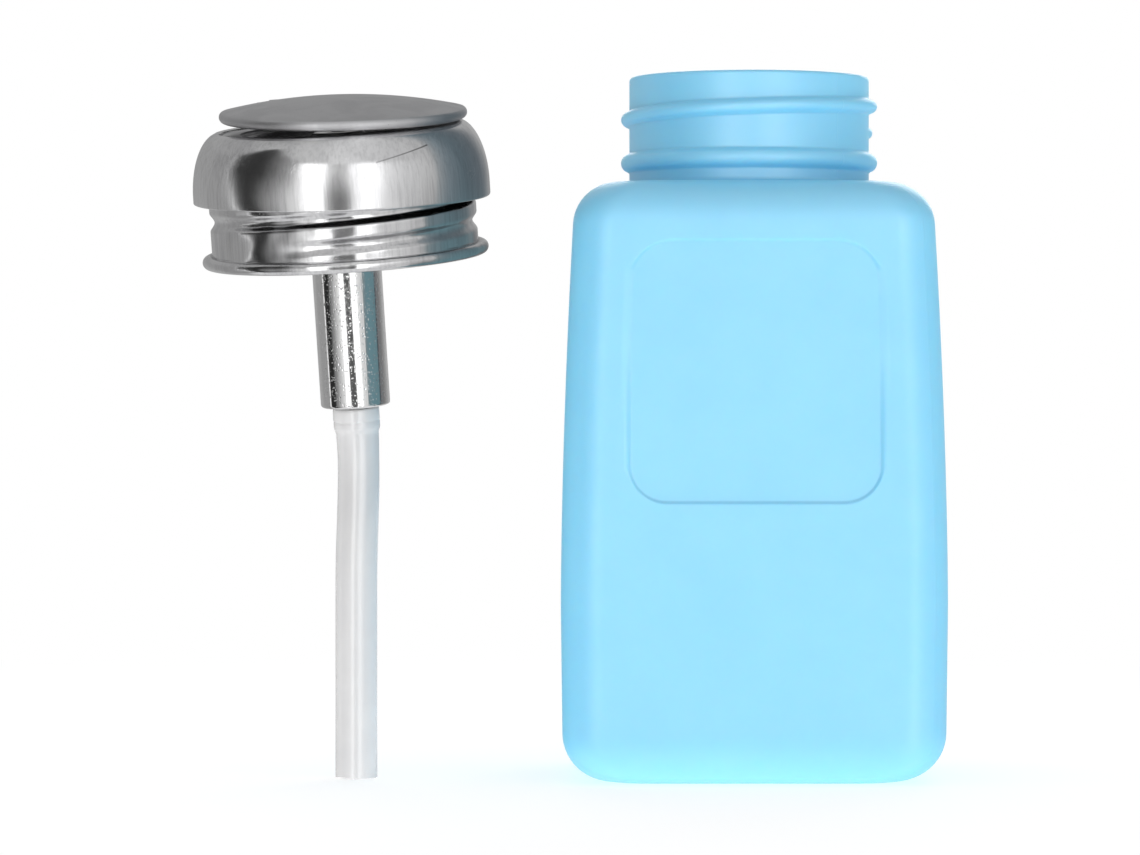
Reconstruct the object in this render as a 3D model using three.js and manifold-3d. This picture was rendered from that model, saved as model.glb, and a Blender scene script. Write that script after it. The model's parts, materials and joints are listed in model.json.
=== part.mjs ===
// Solvent dispenser bottle. A square blow-moulded bottle stands beside its pump head, which has been
// unscrewed and stands on its dip tube. Millimetres, +Z up, the origin under the middle of the pair.
import * as THREE from "three";
import { mergeVertices } from "three/addons/utils/BufferGeometryUtils.js";
import Module from "manifold-3d";

const wasm = await Module();
wasm.setup();

// Gaps between pieces
const seatGap = 0.3; // between two pieces that rest on each other
const runGap = 0.2; // round a pin or a stem that moves
const cutOverrun = 2.0; // how far a cutter passes the wall it cuts

// Bottle
const bottleWidth = 61.1; // the widest, square in plan
const bottleWideHeight = 28.0;
const bottleFootWidth = 60.45;
const bottleShoulderWidth = 56.5;
const bottleShoulderHeight = 95.42;
const bottleCornerRadius = 6.8;
const bottleBaseRadius = 8.1;
const bottleShoulderRadius = 6.8;
const bottleWall = 1.3;
const standingRingWidth = 4.0;
const pushUpHeight = 1.5;
const taperPowerShare = 1.69;

// Label panel, sunk in the front face
const panelWidth = 39.7;
const panelHeight = 41.2;
const panelFoot = 44.5;
const panelDepth = 0.4;
const panelUpperRadius = 7.2;
const panelLowerRadius = 6.0;

// Neck finish
const neckDiameter = 38.9;
const neckWall = 2.0;
const neckHeight = 17.7;
const lipRadius = 0.6;
const threadProud = 1.35;
const threadPitch = 4.23;
const threadBeadHeight = 2.2;
const threadStartDepth = 9.1; // from the lip down to the middle of the bead where it starts
const threadStartAngle = -14;
const threadTurnsShare = 1.26;
const transferBeadDepth = 13.9; // from the lip down to the middle of the full ring
const transferBeadHeight = 2.75;

// Sheet-metal shell that screws on the neck
const shellSheet = 0.4;
const threadClearance = 0.15;
const grooveDepth = 0.75;
const grooveWidth = 2.9;
const grooveStartHeight = 2.8;
const grooveStartAngle = -122;
const grooveTurnsShare = 1.77;
const grooveFadeAngle = 30; // over which it comes in and dies away
const curlRadius = 1.0;
const rimShoulderGap = 0.9; // left between the rolled rim and the shoulder when it is screwed on
const shellTopRadius = 1.2;
const linerThickness = 1.0;
const linerSideGap = 0.6;

// Dome collar over the shell
const domeStandOff = 2.4; // from the shell out to the dome
const domeReach = 4.75; // of the dome's shoulder in to its opening
const domeFootHeight = 8.8; // above the rolled rim
const domeStraight = 1.7;
const domeShoulder = 10.07;
const domeSheet = 0.4;
const domeHem = 1.1;
const domeHemSkew = 0.65; // its hem is this much lower on the right and higher on the left
const domeSeatWidth = 1.9;

// Well that carries the pump
const wellSheet = 0.5;
const wellRimInset = 0.4; // below the top of the dome
const wellFlangeWidth = 3.2;

// Press dish and its nozzle
const dishSheet = 0.5;
const dishInset = 0.6;
const dishSkirt = 2.0;
const dishRimWidth = 1.2;
const dishDepth = 2.2;
const dishTravel = 5.2;
const travelClearance = 0.4; // left under the stem's collar when the dish is pressed home
const nozzleRadius = 4.6;
const nozzleRoof = 0.6;
const nozzleSkirt = 0.9;
const nozzleHoleRadius = 0.9;
const nozzleStandOff = 0.525; // above the dish's floor, which rises a little under its rim

// Stem and piston
const stemRadius = 2.9;
const stemBoreRadius = 1.3;
const stemCollarRadius = 4.4;
const stemCollarHeight = 1.4;
const pistonStep = 0.4; // below the foot of the guide bush
const socketDepth = 3.0;
const pistonFloor = 1.4;
const sealGrooveHeight = 2.4;
const sealGrooveDepth = 1.2;
const outletBallRadius = 1.4;
const outletSeatRadius = 0.9;
const outletLift = 1.0;
const ballSeatGap = 0.1;
const ballGap = 0.4;
const cageThickness = 0.8;
const cageHoleRadius = 0.65;

// Cylinder, its fixings and its foot valve
const cylinderDiameter = 11.15;
const cylinderWall = 0.7;
const cylinderFoot = 24.5; // below the rolled rim
const cylinderFlangeRadius = 8.3;
const cylinderFlangeHeight = 1.0;
const cylinderLip = 0.8;
const washerThickness = 0.8;
const nutAcrossFlats = 16.0;
const nutHeight = 3.2;
const bushFlangeRadius = 7.2;
const bushFlangeHeight = 0.8;
const bushSleeve = 2.8;
const inletBallRadius = 1.9;
const inletSeatRadius = 1.2;
const inletLift = 1.2;
const plugFloor = 1.5;
const barbStemRadius = 2.3;
const barbRadius = 2.75;
const barbLength = 4.4;
const springWireRadius = 0.45;
const springTurns = 6;

// Dip tube
const tubeDiameter = 6.7;
const tubeBore = 5.0;
const tubeSwollenDiameter = 7.5;
const tubeSwollenLength = 3.9;
const tubeBendLength = 24.0;
const tubeDrop = 59.9; // from the foot of the cylinder to the surface it stands on

// Lid and hinge
const lidOverhang = 0.8; // past the dome's opening
const lidSheet = 0.4;
const lidCrown = 2.9;
const lidEdge = 1.8;
const lidCurlWidth = 1.5;
const lidClearance = 1.85; // of its edge over the dome, beside the hinge
const lidForward = 1.3; // its middle lies this far past the head's axis, away from the hinge
const lidSlide = 0.45; // along the pin, in the play that its knuckle has
const hingeReach = 1.5; // from the lid's edge out to the pin
const hingeDrop = 0.37; // of the pin below the middle of the lid's edge
const hingeAzimuthAngle = 120; // from the right, turning towards the back
const hingePinRadius = 0.75;
const hingePinLength = 8.8;
const knuckleRadius = 1.35;
const knuckleLength = 4.4;
const earThickness = 1.0;
const earRadius = 1.15;
const lidOpenAngle = -2.4; // below zero, as it slopes down from its hinge to rest on the dome
const lidSkewAngle = 1.2;

// Where the head stands
const standDistance = 63.4; // from the bottle's middle to the foot of the tube
const standForward = 10.0;
const cylinderForward = 8.0;
const cylinderLeft = 0.2; // its end from the foot of the tube
const headLeanAngle = 3.4;
const headPitchAngle = 7.5;

// How finely round things are cut
const bigFacets = 36;
const midFacets = 24;
const smallFacets = 16;
const pinFacets = 12;
const ballFacets = 10;
const tubeFacets = 12;
const springSteps = 8; // for each turn
const springSides = 5;

const degree = Math.PI / 180;

// Turns a mesh inside out if its faces point inwards.
function outward(geometry) {
  const index = geometry.index.array;
  const at = geometry.attributes.position;
  const [a, b, c] = [new THREE.Vector3(), new THREE.Vector3(), new THREE.Vector3()];
  let volume = 0;
  for (let i = 0; i < index.length; i += 3) {
    a.fromBufferAttribute(at, index[i]);
    b.fromBufferAttribute(at, index[i + 1]);
    c.fromBufferAttribute(at, index[i + 2]);
    volume += a.dot(b.cross(c));
  }
  if (volume < 0) {
    for (let i = 0; i < index.length; i += 3) {
      [index[i + 1], index[i + 2]] = [index[i + 2], index[i + 1]];
    }
  }
  return geometry;
}

// Joins rings of points, all with as many points, into one closed skin. Rings that close join the last
// to the first; otherwise a fan closes each end.
function skin(rings, ringsClose) {
  const count = rings[0].length;
  const points = rings.flat();
  const faces = [];
  const spans = ringsClose ? rings.length : rings.length - 1;
  for (let i = 0; i < spans; i++) {
    const low = i * count;
    const high = ((i + 1) % rings.length) * count;
    for (let j = 0; j < count; j++) {
      const next = (j + 1) % count;
      faces.push(low + j, low + next, high + next, low + j, high + next, high + j);
    }
  }
  if (!ringsClose) {
    const last = (rings.length - 1) * count;
    const ends = [[0, true], [last, false]];
    for (const [start, flip] of ends) {
      const middle = new THREE.Vector3();
      for (let j = 0; j < count; j++) middle.addScaledVector(points[start + j], 1 / count);
      points.push(middle);
      const tip = points.length - 1;
      for (let j = 0; j < count; j++) {
        const next = (j + 1) % count;
        faces.push(...(flip ? [start + next, start + j, tip] : [start + j, start + next, tip]));
      }
    }
  }
  const geometry = new THREE.BufferGeometry().setFromPoints(points);
  geometry.setIndex(faces);
  return outward(geometry);
}

// A solid turned about Z from [radius, height] points that run from axis to axis or close on themselves.
function turned(profile, facets) {
  const onAxis = profile[0][0] === 0;
  const path = onAxis ? profile : [...profile, profile[0]];
  const outline = path.map(([radius, height]) => new THREE.Vector2(radius, height));
  const geometry = new THREE.LatheGeometry(outline, facets);
  geometry.rotateX(Math.PI / 2);
  geometry.deleteAttribute("normal");
  geometry.deleteAttribute("uv");
  return outward(mergeVertices(geometry));
}

// A closed profile of even thickness, laid to the left of a path.
function sheet(path, thickness) {
  const side = path.map(([x, y], i) => {
    const normals = [];
    for (const k of [i - 1, i]) {
      if (k < 0 || k + 1 >= path.length) continue;
      const dx = path[k + 1][0] - path[k][0];
      const dy = path[k + 1][1] - path[k][1];
      const run = Math.hypot(dx, dy);
      normals.push([-dy / run, dx / run]);
    }
    const [nx, ny] = normals.reduce((sum, n) => [sum[0] + n[0], sum[1] + n[1]], [0, 0]);
    const reach = (thickness * normals.length) / (nx * nx + ny * ny);
    return [x + nx * reach, y + ny * reach];
  });
  return [...path, ...side.reverse()];
}

function toSolid(geometry) {
  const merged = geometry.index ? geometry.clone() : mergeVertices(geometry.clone());
  merged.deleteAttribute("normal");
  merged.deleteAttribute("uv");
  const clean = mergeVertices(merged);
  const mesh = new wasm.Mesh({
    numProp: 3,
    vertProperties: new Float32Array(clean.attributes.position.array),
    triVerts: new Uint32Array(clean.index.array),
  });
  return new wasm.Manifold(mesh);
}

function toGeometry(solid) {
  const mesh = solid.getMesh();
  const geometry = new THREE.BufferGeometry();
  geometry.setAttribute("position", new THREE.BufferAttribute(mesh.vertProperties, mesh.numProp));
  geometry.setIndex(new THREE.BufferAttribute(mesh.triVerts, 1));
  return geometry;
}

function finish(name, color, roughness, metalness, opacity = 1) {
  const material = new THREE.MeshStandardMaterial({ color, roughness, metalness, opacity });
  material.name = name;
  material.transparent = opacity < 1;
  return material;
}

const finishes = {
  bluePlastic: () => finish("bluePlastic", 0x8fd8f7, 0.45, 0),
  steel: () => finish("steel", 0xb9babd, 0.22, 1),
  brushedSteel: () => finish("brushedSteel", 0x9b9c9f, 0.4, 1),
  whitePlastic: () => finish("whitePlastic", 0xe9e9e4, 0.5, 0),
  seal: () => finish("seal", 0x2c2d30, 0.7, 0),
  tube: () => finish("tube", 0xe6e8ea, 0.3, 0, 0.6),
};

function piece(name, geometry, material) {
  const mesh = new THREE.Mesh(geometry, material);
  mesh.name = name;
  return mesh;
}

const threadDiameter = neckDiameter + 2 * threadProud;

// Bottle

// Directions round a bottle's section, closer together at the corners.
const quarterAngleShares = [0, 0.17, 0.32, 0.41, 0.455, 0.5, 0.545, 0.59, 0.68, 0.83];

function sectionAngles() {
  const angles = [];
  for (let quarter = 0; quarter < 4; quarter++) {
    for (const share of quarterAngleShares) angles.push(((quarter + share) * Math.PI) / 2);
  }
  return angles;
}

// How far a square with round corners reaches in one direction.
function squareReach(angle, half, corner) {
  const x = Math.abs(Math.cos(angle));
  const y = Math.abs(Math.sin(angle));
  const centre = half - corner;
  const flat = half / Math.max(x, y);
  if (flat * Math.min(x, y) <= centre) return flat;
  const along = centre * (x + y);
  return along + Math.sqrt(along * along - 2 * centre * centre + corner * corner);
}

function section(half, corner, height) {
  return sectionAngles().map((angle) => {
    const reach = squareReach(angle, half, corner);
    return new THREE.Vector3(reach * Math.cos(angle), reach * Math.sin(angle), height);
  });
}

// Half the bottle's width at a height above its base.
function bottleHalf(height) {
  if (height < bottleWideHeight) {
    const drop = (bottleWideHeight - height) / bottleWideHeight;
    return (bottleWidth - (bottleWidth - bottleFootWidth) * drop) / 2;
  }
  const rise = (height - bottleWideHeight) / (bottleShoulderHeight - bottleWideHeight);
  const taper = Math.pow(rise, taperPowerShare);
  return (bottleWidth - (bottleWidth - bottleShoulderWidth) * taper) / 2;
}

const outerArcShares = [0, 0.25, 0.5, 0.75, 1];
const innerArcShares = [0, 0.5, 1];
const outerBodyShares = [0.2, 0.4, 0.6, 0.8];
const innerBodyShares = [0.35, 0.7];

// Rings of the bottle's body from its base to its shoulder, drawn in by an inset on every side.
function bodyRings(inset, arcShares, bodyShares) {
  const rings = [];
  const foot = inset;
  const top = bottleShoulderHeight - inset;
  const baseRadius = bottleBaseRadius - inset;
  const topRadius = bottleShoulderRadius - inset;
  for (const share of arcShares) {
    const angle = (share * Math.PI) / 2;
    const height = foot + baseRadius * (1 - Math.cos(angle));
    const half = bottleHalf(height) - inset - baseRadius * (1 - Math.sin(angle));
    rings.push([half, height]);
  }
  const low = foot + baseRadius;
  const high = top - topRadius;
  for (const share of bodyShares) {
    const height = low + (high - low) * share;
    rings.push([bottleHalf(height) - inset, height]);
  }
  for (const share of arcShares) {
    const angle = (share * Math.PI) / 2;
    const height = high + topRadius * Math.sin(angle);
    const half = bottleHalf(height) - inset - topRadius * (1 - Math.cos(angle));
    rings.push([half, height]);
  }
  return rings.map(([half, height]) => {
    const corner = Math.min(bottleCornerRadius - inset / 2, half);
    return section(half, corner, height);
  });
}

// Up the section of the full ring on the neck, from its middle, in halves of its height.
const transferBeadShares = [-1, -0.6, 0, 0.6, 1];

// The neck's outside, with the full ring that lies under the thread.
function neckOutside() {
  const wall = neckDiameter / 2;
  const lip = bottleShoulderHeight + neckHeight;
  const bead = lip - transferBeadDepth;
  const profile = [[wall, bottleShoulderHeight - bottleWall / 2]];
  for (const share of transferBeadShares) {
    profile.push([wall + threadProud * (1 - share * share), bead + (share * transferBeadHeight) / 2]);
  }
  profile.push([wall, lip - lipRadius]);
  profile.push([wall - lipRadius, lip]);
  return profile;
}

function neckSolid() {
  const inner = neckDiameter / 2 - neckWall;
  const foot = bottleShoulderHeight - bottleWall / 2;
  const lip = bottleShoulderHeight + neckHeight;
  const inside = [[inner + lipRadius, lip], [inner, lip - lipRadius], [inner, foot]];
  return turned([...neckOutside(), ...inside], bigFacets);
}

// Section of the thread's bead: out from the neck's wall, and up from its middle.
const beadOutShares = [-0.5, 0.45, 1, 1, 0.45, -0.5];
const beadUpShares = [-0.5, -0.42, -0.18, 0.18, 0.42, 0.5];
const beadFadeSteps = 4;
const beadLeastShare = 0.1;

// A round bead that climbs round the neck and dies away at both ends.
function threadBead() {
  const wall = neckDiameter / 2;
  const start = bottleShoulderHeight + neckHeight - threadStartDepth;
  const steps = Math.round(threadTurnsShare * bigFacets);
  const rings = [];
  for (let i = 0; i <= steps; i++) {
    const turn = (threadTurnsShare * i) / steps;
    const fade = Math.max(beadLeastShare, Math.min(1, i / beadFadeSteps, (steps - i) / beadFadeSteps));
    const angle = threadStartAngle * degree + turn * 2 * Math.PI;
    const middle = start + turn * threadPitch;
    rings.push(
      beadOutShares.map((out, k) => {
        const radius = wall + threadProud * (out > 0 ? out * fade : out);
        const height = middle + (beadUpShares[k] * threadBeadHeight * (1 + fade)) / 2;
        return new THREE.Vector3(radius * Math.cos(angle), radius * Math.sin(angle), height);
      }),
    );
  }
  return skin(rings, false);
}

// Outline of the label panel, with its own radius at the upper and the lower corners.
function roundedPanel(width, height, upper, lower) {
  const x = width / 2;
  const shape = new THREE.Shape();
  shape.moveTo(-x + lower, 0);
  shape.lineTo(x - lower, 0);
  shape.absarc(x - lower, lower, lower, -Math.PI / 2, 0, false);
  shape.lineTo(x, height - upper);
  shape.absarc(x - upper, height - upper, upper, 0, Math.PI / 2, false);
  shape.lineTo(-x + upper, height);
  shape.absarc(-x + upper, height - upper, upper, Math.PI / 2, Math.PI, false);
  shape.lineTo(-x, lower);
  shape.absarc(-x + lower, lower, lower, Math.PI, 1.5 * Math.PI, false);
  return shape;
}

// What is cut from the front face for the panel: the space outside the body drawn in by the panel's depth.
function panelCutter() {
  const shape = roundedPanel(panelWidth, panelHeight, panelUpperRadius, panelLowerRadius);
  const depth = bottleCornerRadius + cutOverrun;
  const cutter = new THREE.ExtrudeGeometry(shape, { depth, bevelEnabled: false, curveSegments: 6 });
  cutter.rotateX(Math.PI / 2);
  cutter.translate(0, -bottleWidth / 2 - cutOverrun + depth, panelFoot);
  const kept = skin(bodyRings(panelDepth, outerArcShares, outerBodyShares), false);
  return toSolid(cutter).subtract(toSolid(kept));
}

// The shallow hollow inside the standing ring.
function pushUp() {
  const half = bottleHalf(0) - bottleBaseRadius - standingRingWidth;
  const rings = [section(half, bottleCornerRadius, -pushUpHeight)];
  rings.push(section(half, bottleCornerRadius, 0));
  rings.push(section(half - pushUpHeight, bottleCornerRadius, pushUpHeight));
  return toSolid(skin(rings, false));
}

// The hollow of the bottle, whose floor follows the push-up.
function innerBody() {
  const rings = bodyRings(bottleWall, innerArcShares, innerBodyShares);
  const half = bottleHalf(0) - bottleBaseRadius - standingRingWidth;
  const floor = pushUpHeight + bottleWall;
  const inner = skin(rings, false);
  const rise = [section(half + bottleWall, bottleCornerRadius, -bottleWall)];
  rise.push(section(half + bottleWall, bottleCornerRadius, bottleWall));
  rise.push(section(half + bottleWall - pushUpHeight, bottleCornerRadius, floor));
  return toSolid(inner).subtract(toSolid(skin(rise, false)));
}

function bottle() {
  const bore = neckDiameter / 2 - neckWall;
  const lip = bottleShoulderHeight + neckHeight;
  const boreFoot = bottleShoulderHeight - bottleShoulderRadius;
  const boreTop = lip + cutOverrun;
  const mouth = plate(bore, boreFoot, boreTop, bigFacets);
  const body = toSolid(skin(bodyRings(0, outerArcShares, outerBodyShares), false))
    .subtract(pushUp())
    .subtract(innerBody())
    .subtract(toSolid(mouth))
    .add(toSolid(neckSolid()))
    .add(toSolid(threadBead()))
    .subtract(panelCutter());
  return toGeometry(body);
}

// Pump head. Heights are measured along its axis from the middle of the rolled rim.

const shellBore = threadDiameter / 2 + threadClearance;
const shellRadius = shellBore + shellSheet;
const lipLevel = neckHeight - rimShoulderGap - curlRadius;
const plateUnder = lipLevel + linerThickness + seatGap;
const plateTop = plateUnder + shellSheet;
const domeDiameter = 2 * (shellRadius + domeStandOff);
const domeOpening = domeDiameter - 2 * domeReach;
const domeTop = domeFootHeight + domeStraight + domeShoulder;
const domeSeat = plateTop + seatGap + domeSheet;
const wellFlangeRadius = domeOpening / 2 - seatGap;
const wellBore = wellFlangeRadius - wellFlangeWidth;
const wellRadius = wellBore + wellSheet;
const wellTop = domeTop - wellRimInset;
const dishRadius = wellBore - seatGap;
const dishTop = wellTop - dishInset;
const dishFloor = dishTop - dishDepth;
const stemCollarTop = dishFloor - dishSheet - seatGap;
const bushTop = stemCollarTop - stemCollarHeight - dishTravel - travelClearance;
const bushFoot = bushTop - bushFlangeHeight - bushSleeve;
const cylinderTop = bushTop - bushFlangeHeight - seatGap;
const wellFloor = cylinderTop - cylinderFlangeHeight - washerThickness - 2 * seatGap;
const cylinderRadius = cylinderDiameter / 2;
const cylinderBore = cylinderRadius - cylinderWall;
const nozzleFoot = dishFloor + nozzleStandOff;
const stemTop = nozzleFoot + nozzleSkirt;
const pistonTop = bushFoot - pistonStep;
const pistonRadius = cylinderBore - seatGap;
const socketRadius = stemRadius + seatGap;
const stemFoot = pistonTop - socketDepth;
const outletCageTop = stemFoot - seatGap;
const socketFloor = outletCageTop - cageThickness - seatGap;
const outletSeatRise = Math.sqrt(outletBallRadius ** 2 - outletSeatRadius ** 2) + ballSeatGap;
const outletBallLevel = outletCageTop - cageThickness - ballSeatGap - outletLift - outletBallRadius;
const outletSeatLevel = outletBallLevel - outletSeatRise;
const pistonFoot = outletSeatLevel - pistonFloor;
const plugFoot = -cylinderFoot + cylinderLip + seatGap;
const inletSeatLevel = plugFoot + plugFloor;
const inletSeatRise = Math.sqrt(inletBallRadius ** 2 - inletSeatRadius ** 2) + ballSeatGap;
const inletBallLevel = inletSeatLevel + inletSeatRise;
const inletCageFoot = inletBallLevel + inletBallRadius + inletLift + ballSeatGap;
const plugTop = inletCageFoot - seatGap;

// Round the section of the rolled rim, from its outer end to the shell's wall.
const curlAngles = [75, 30, -15, -60, -105, -150];

// How deep the rolled thread is sunk at an angle and a height.
function grooveAt(angle, height) {
  const start = grooveStartAngle * degree;
  const end = start + grooveTurnsShare * 2 * Math.PI;
  const fadeAngle = grooveFadeAngle * degree;
  let deepest = 0;
  for (let turn = -1; turn <= Math.ceil(grooveTurnsShare); turn++) {
    const along = angle + turn * 2 * Math.PI;
    if (along < start || along > end) continue;
    const middle = grooveStartHeight + (threadPitch * (along - start)) / (2 * Math.PI);
    const off = Math.abs(height - middle) / (grooveWidth / 2);
    if (off >= 1) continue;
    const fade = Math.min(1, (along - start) / fadeAngle, (end - along) / fadeAngle);
    deepest = Math.max(deepest, fade * Math.cos((off * Math.PI) / 2) ** 2);
  }
  return deepest * grooveDepth;
}

function threadedShell() {
  const wallFoot = curlRadius;
  const wallTop = plateTop - shellTopRadius;
  const grooveTop = grooveStartHeight + grooveTurnsShare * threadPitch + grooveWidth / 2;
  const levels = [];
  const rows = 15;
  for (let i = 0; i <= rows; i++) levels.push(wallFoot + ((grooveTop - wallFoot) * i) / rows);
  levels.push(wallTop);
  const curlMiddle = shellRadius + curlRadius - shellSheet;
  const hole = wellRadius + seatGap;
  const rings = [];
  for (let i = 0; i < bigFacets; i++) {
    const angle = (i * 2 * Math.PI) / bigFacets;
    const profile = [];
    for (const level of levels) profile.push([shellRadius - grooveAt(angle, level), level]);
    const bevel = shellTopRadius * (1 - Math.SQRT1_2);
    profile.push([shellRadius - bevel, plateTop - bevel]);
    profile.push([shellRadius - shellTopRadius, plateTop], [hole, plateTop], [hole, plateUnder]);
    profile.push([shellBore - shellTopRadius + shellSheet, plateUnder]);
    for (const level of [...levels].reverse()) {
      profile.push([shellBore - grooveAt(angle, level), Math.min(level, plateUnder - shellSheet)]);
    }
    for (const turn of [...curlAngles].reverse()) {
      const x = curlMiddle + curlRadius * Math.cos(turn * degree);
      profile.push([x, curlRadius * Math.sin(turn * degree)]);
    }
    rings.push(
      profile.map(([radius, height]) => {
        return new THREE.Vector3(radius * Math.cos(angle), radius * Math.sin(angle), height);
      }),
    );
  }
  return skin(rings, true);
}

// Round the dome's shoulder, from its straight foot to its opening.
const domeAngles = [0, 15, 30, 45, 58, 70, 80, 90];

// The dome's outside from its hem up to its opening, as [radius, height] points.
function domeOutside() {
  const radius = domeDiameter / 2;
  const open = domeOpening / 2;
  const waist = domeFootHeight + domeStraight;
  const path = [[radius, domeFootHeight]];
  for (const turn of domeAngles) {
    const angle = turn * degree;
    path.push([open + (radius - open) * Math.cos(angle), waist + domeShoulder * Math.sin(angle)]);
  }
  return path;
}

function domeCollar() {
  const open = domeOpening / 2;
  const hem = [domeDiameter / 2 - domeHem, domeFootHeight];
  const path = [hem, ...domeOutside(), [open, domeSeat], [open - domeSeatWidth, domeSeat]];
  const collar = turned(sheet(path, domeSheet), bigFacets);
  const at = collar.attributes.position;
  for (let i = 0; i < at.count; i++) {
    if (at.getZ(i) > domeFootHeight + domeStraight / 2) continue;
    const side = at.getX(i) / Math.hypot(at.getX(i), at.getY(i));
    at.setZ(i, at.getZ(i) - domeHemSkew * side);
  }
  return collar;
}

function neckLiner() {
  const inner = wellRadius + seatGap;
  const outer = shellBore - linerSideGap;
  const low = lipLevel;
  const high = lipLevel + linerThickness;
  return turned([[inner, low], [outer, low], [outer, high], [inner, high]], bigFacets);
}

function wellCup() {
  const path = [
    [wellFlangeRadius, domeSeat + seatGap],
    [wellFlangeRadius, wellTop],
    [wellBore, wellTop],
    [wellBore, wellFloor],
    [cylinderRadius + seatGap, wellFloor],
  ];
  return turned(sheet(path, wellSheet), bigFacets);
}

function cylinderWasher() {
  const inner = cylinderRadius + seatGap;
  const low = wellFloor + seatGap;
  const high = low + washerThickness;
  const outer = cylinderFlangeRadius;
  return turned([[inner, low], [outer, low], [outer, high], [inner, high]], midFacets);
}

function cylinder() {
  const flangeFoot = cylinderTop - cylinderFlangeHeight;
  const lipHole = barbRadius + seatGap;
  const profile = [
    [cylinderBore, cylinderTop],
    [cylinderFlangeRadius, cylinderTop],
    [cylinderFlangeRadius, flangeFoot],
    [cylinderRadius, flangeFoot],
    [cylinderRadius, -cylinderFoot],
    [lipHole, -cylinderFoot],
    [lipHole, -cylinderFoot + cylinderLip],
    [cylinderBore, -cylinderFoot + cylinderLip],
  ];
  return turned(profile, midFacets);
}

function cylinderNut() {
  const shape = new THREE.Shape();
  const reach = nutAcrossFlats / 2 / Math.cos(Math.PI / 6);
  for (let i = 0; i < 6; i++) {
    const angle = (i * Math.PI) / 3;
    const [x, y] = [reach * Math.cos(angle), reach * Math.sin(angle)];
    if (i === 0) shape.moveTo(x, y);
    else shape.lineTo(x, y);
  }
  const hole = new THREE.Path();
  hole.absarc(0, 0, cylinderRadius + seatGap, 0, 2 * Math.PI, true);
  shape.holes.push(hole);
  const how = { depth: nutHeight, bevelEnabled: false, curveSegments: 10 };
  const nut = new THREE.ExtrudeGeometry(shape, how);
  nut.translate(0, 0, wellFloor - wellSheet - seatGap - nutHeight);
  return nut;
}

function guideBush() {
  const flangeFoot = bushTop - bushFlangeHeight;
  const bore = stemRadius + runGap;
  const sleeve = cylinderBore - seatGap;
  const profile = [
    [bore, bushTop],
    [bushFlangeRadius, bushTop],
    [bushFlangeRadius, flangeFoot],
    [sleeve, flangeFoot],
    [sleeve, bushFoot],
    [bore, bushFoot],
  ];
  return turned(profile, smallFacets);
}

function footValvePlug() {
  const chamber = inletBallRadius + ballGap;
  const body = cylinderBore - seatGap;
  const foot = -cylinderFoot - seatGap;
  const notch = barbLength / 4;
  const profile = [
    [chamber, plugTop],
    [body, plugTop],
    [body, plugFoot],
    [barbStemRadius, plugFoot],
    [barbStemRadius, foot],
    [barbRadius, foot - notch],
    [barbStemRadius, foot - notch],
    [barbRadius, foot - 3 * notch],
    [barbStemRadius, foot - 3 * notch],
    [barbStemRadius, foot - barbLength],
    [inletSeatRadius, foot - barbLength],
    [inletSeatRadius, inletSeatLevel],
    [chamber, inletSeatLevel],
  ];
  return turned(profile, smallFacets);
}

// A disc or a plug about the axis, between two heights.
function plate(radius, low, high, facets) {
  return turned([[0, low], [radius, low], [radius, high], [0, high]], facets);
}

// A flat disc with three holes that lets liquid past and holds a ball in.
function ballCage(radius, foot, holeRadius) {
  let solid = toSolid(plate(radius, foot, foot + cageThickness, smallFacets));
  for (let i = 0; i < 3; i++) {
    const angle = (i * 2 * Math.PI) / 3;
    const cutter = plate(holeRadius, foot - cutOverrun, foot + cageThickness + cutOverrun, 8);
    cutter.translate((radius / 2) * Math.cos(angle), (radius / 2) * Math.sin(angle), 0);
    solid = solid.subtract(toSolid(cutter));
  }
  return toGeometry(solid);
}

function ball(radius, level) {
  const geometry = new THREE.SphereGeometry(radius, ballFacets, ballFacets - 3);
  geometry.translate(0, 0, level);
  return geometry;
}

// The least gap between turns of a wire, measured between points half a turn or more apart along it.
function leastGap(middles, wireRadius) {
  let least = Infinity;
  for (let i = 0; i < middles.length; i++) {
    for (let k = i + springSteps / 2; k < middles.length; k++) {
      least = Math.min(least, middles[i].distanceTo(middles[k]) - 2 * wireRadius);
    }
  }
  return least;
}

// A compression spring as one unbroken wire. Prints the least gap between its turns.
function returnSpring() {
  const low = inletCageFoot + cageThickness + seatGap + springWireRadius;
  const high = pistonFoot - seatGap - springWireRadius;
  const middle = cylinderBore - seatGap - springWireRadius - runGap;
  const steps = springTurns * springSteps;
  const rings = [];
  const middles = [];
  for (let i = 0; i <= steps; i++) {
    const angle = (i * 2 * Math.PI) / springSteps;
    const height = low + ((high - low) * i) / steps;
    middles.push(new THREE.Vector3(middle * Math.cos(angle), middle * Math.sin(angle), height));
    const ring = [];
    for (let j = 0; j < springSides; j++) {
      const round = (j * 2 * Math.PI) / springSides;
      const radius = middle + springWireRadius * Math.cos(round);
      const z = height + springWireRadius * Math.sin(round);
      ring.push(new THREE.Vector3(radius * Math.cos(angle), radius * Math.sin(angle), z));
    }
    rings.push(ring);
  }
  const gap = leastGap(middles, springWireRadius);
  console.log("return spring, least gap between turns:", gap.toFixed(2), "mm");
  return skin(rings, false);
}

// Across the dish, from its rim to the stem's hole.
const dishFloorShares = [0.25, 0.5, 0.75, 1];

function pressDish() {
  const path = [
    [dishRadius, dishTop - dishSkirt],
    [dishRadius, dishTop],
    [dishRadius - dishRimWidth, dishTop],
  ];
  const inner = dishRadius - dishRimWidth;
  const hole = stemRadius + seatGap;
  for (const share of dishFloorShares) {
    const radius = inner + (hole - inner) * share;
    path.push([radius, dishTop - dishDepth * (1 - (1 - share) ** 2)]);
  }
  return turned(sheet(path, dishSheet), midFacets);
}

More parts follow.
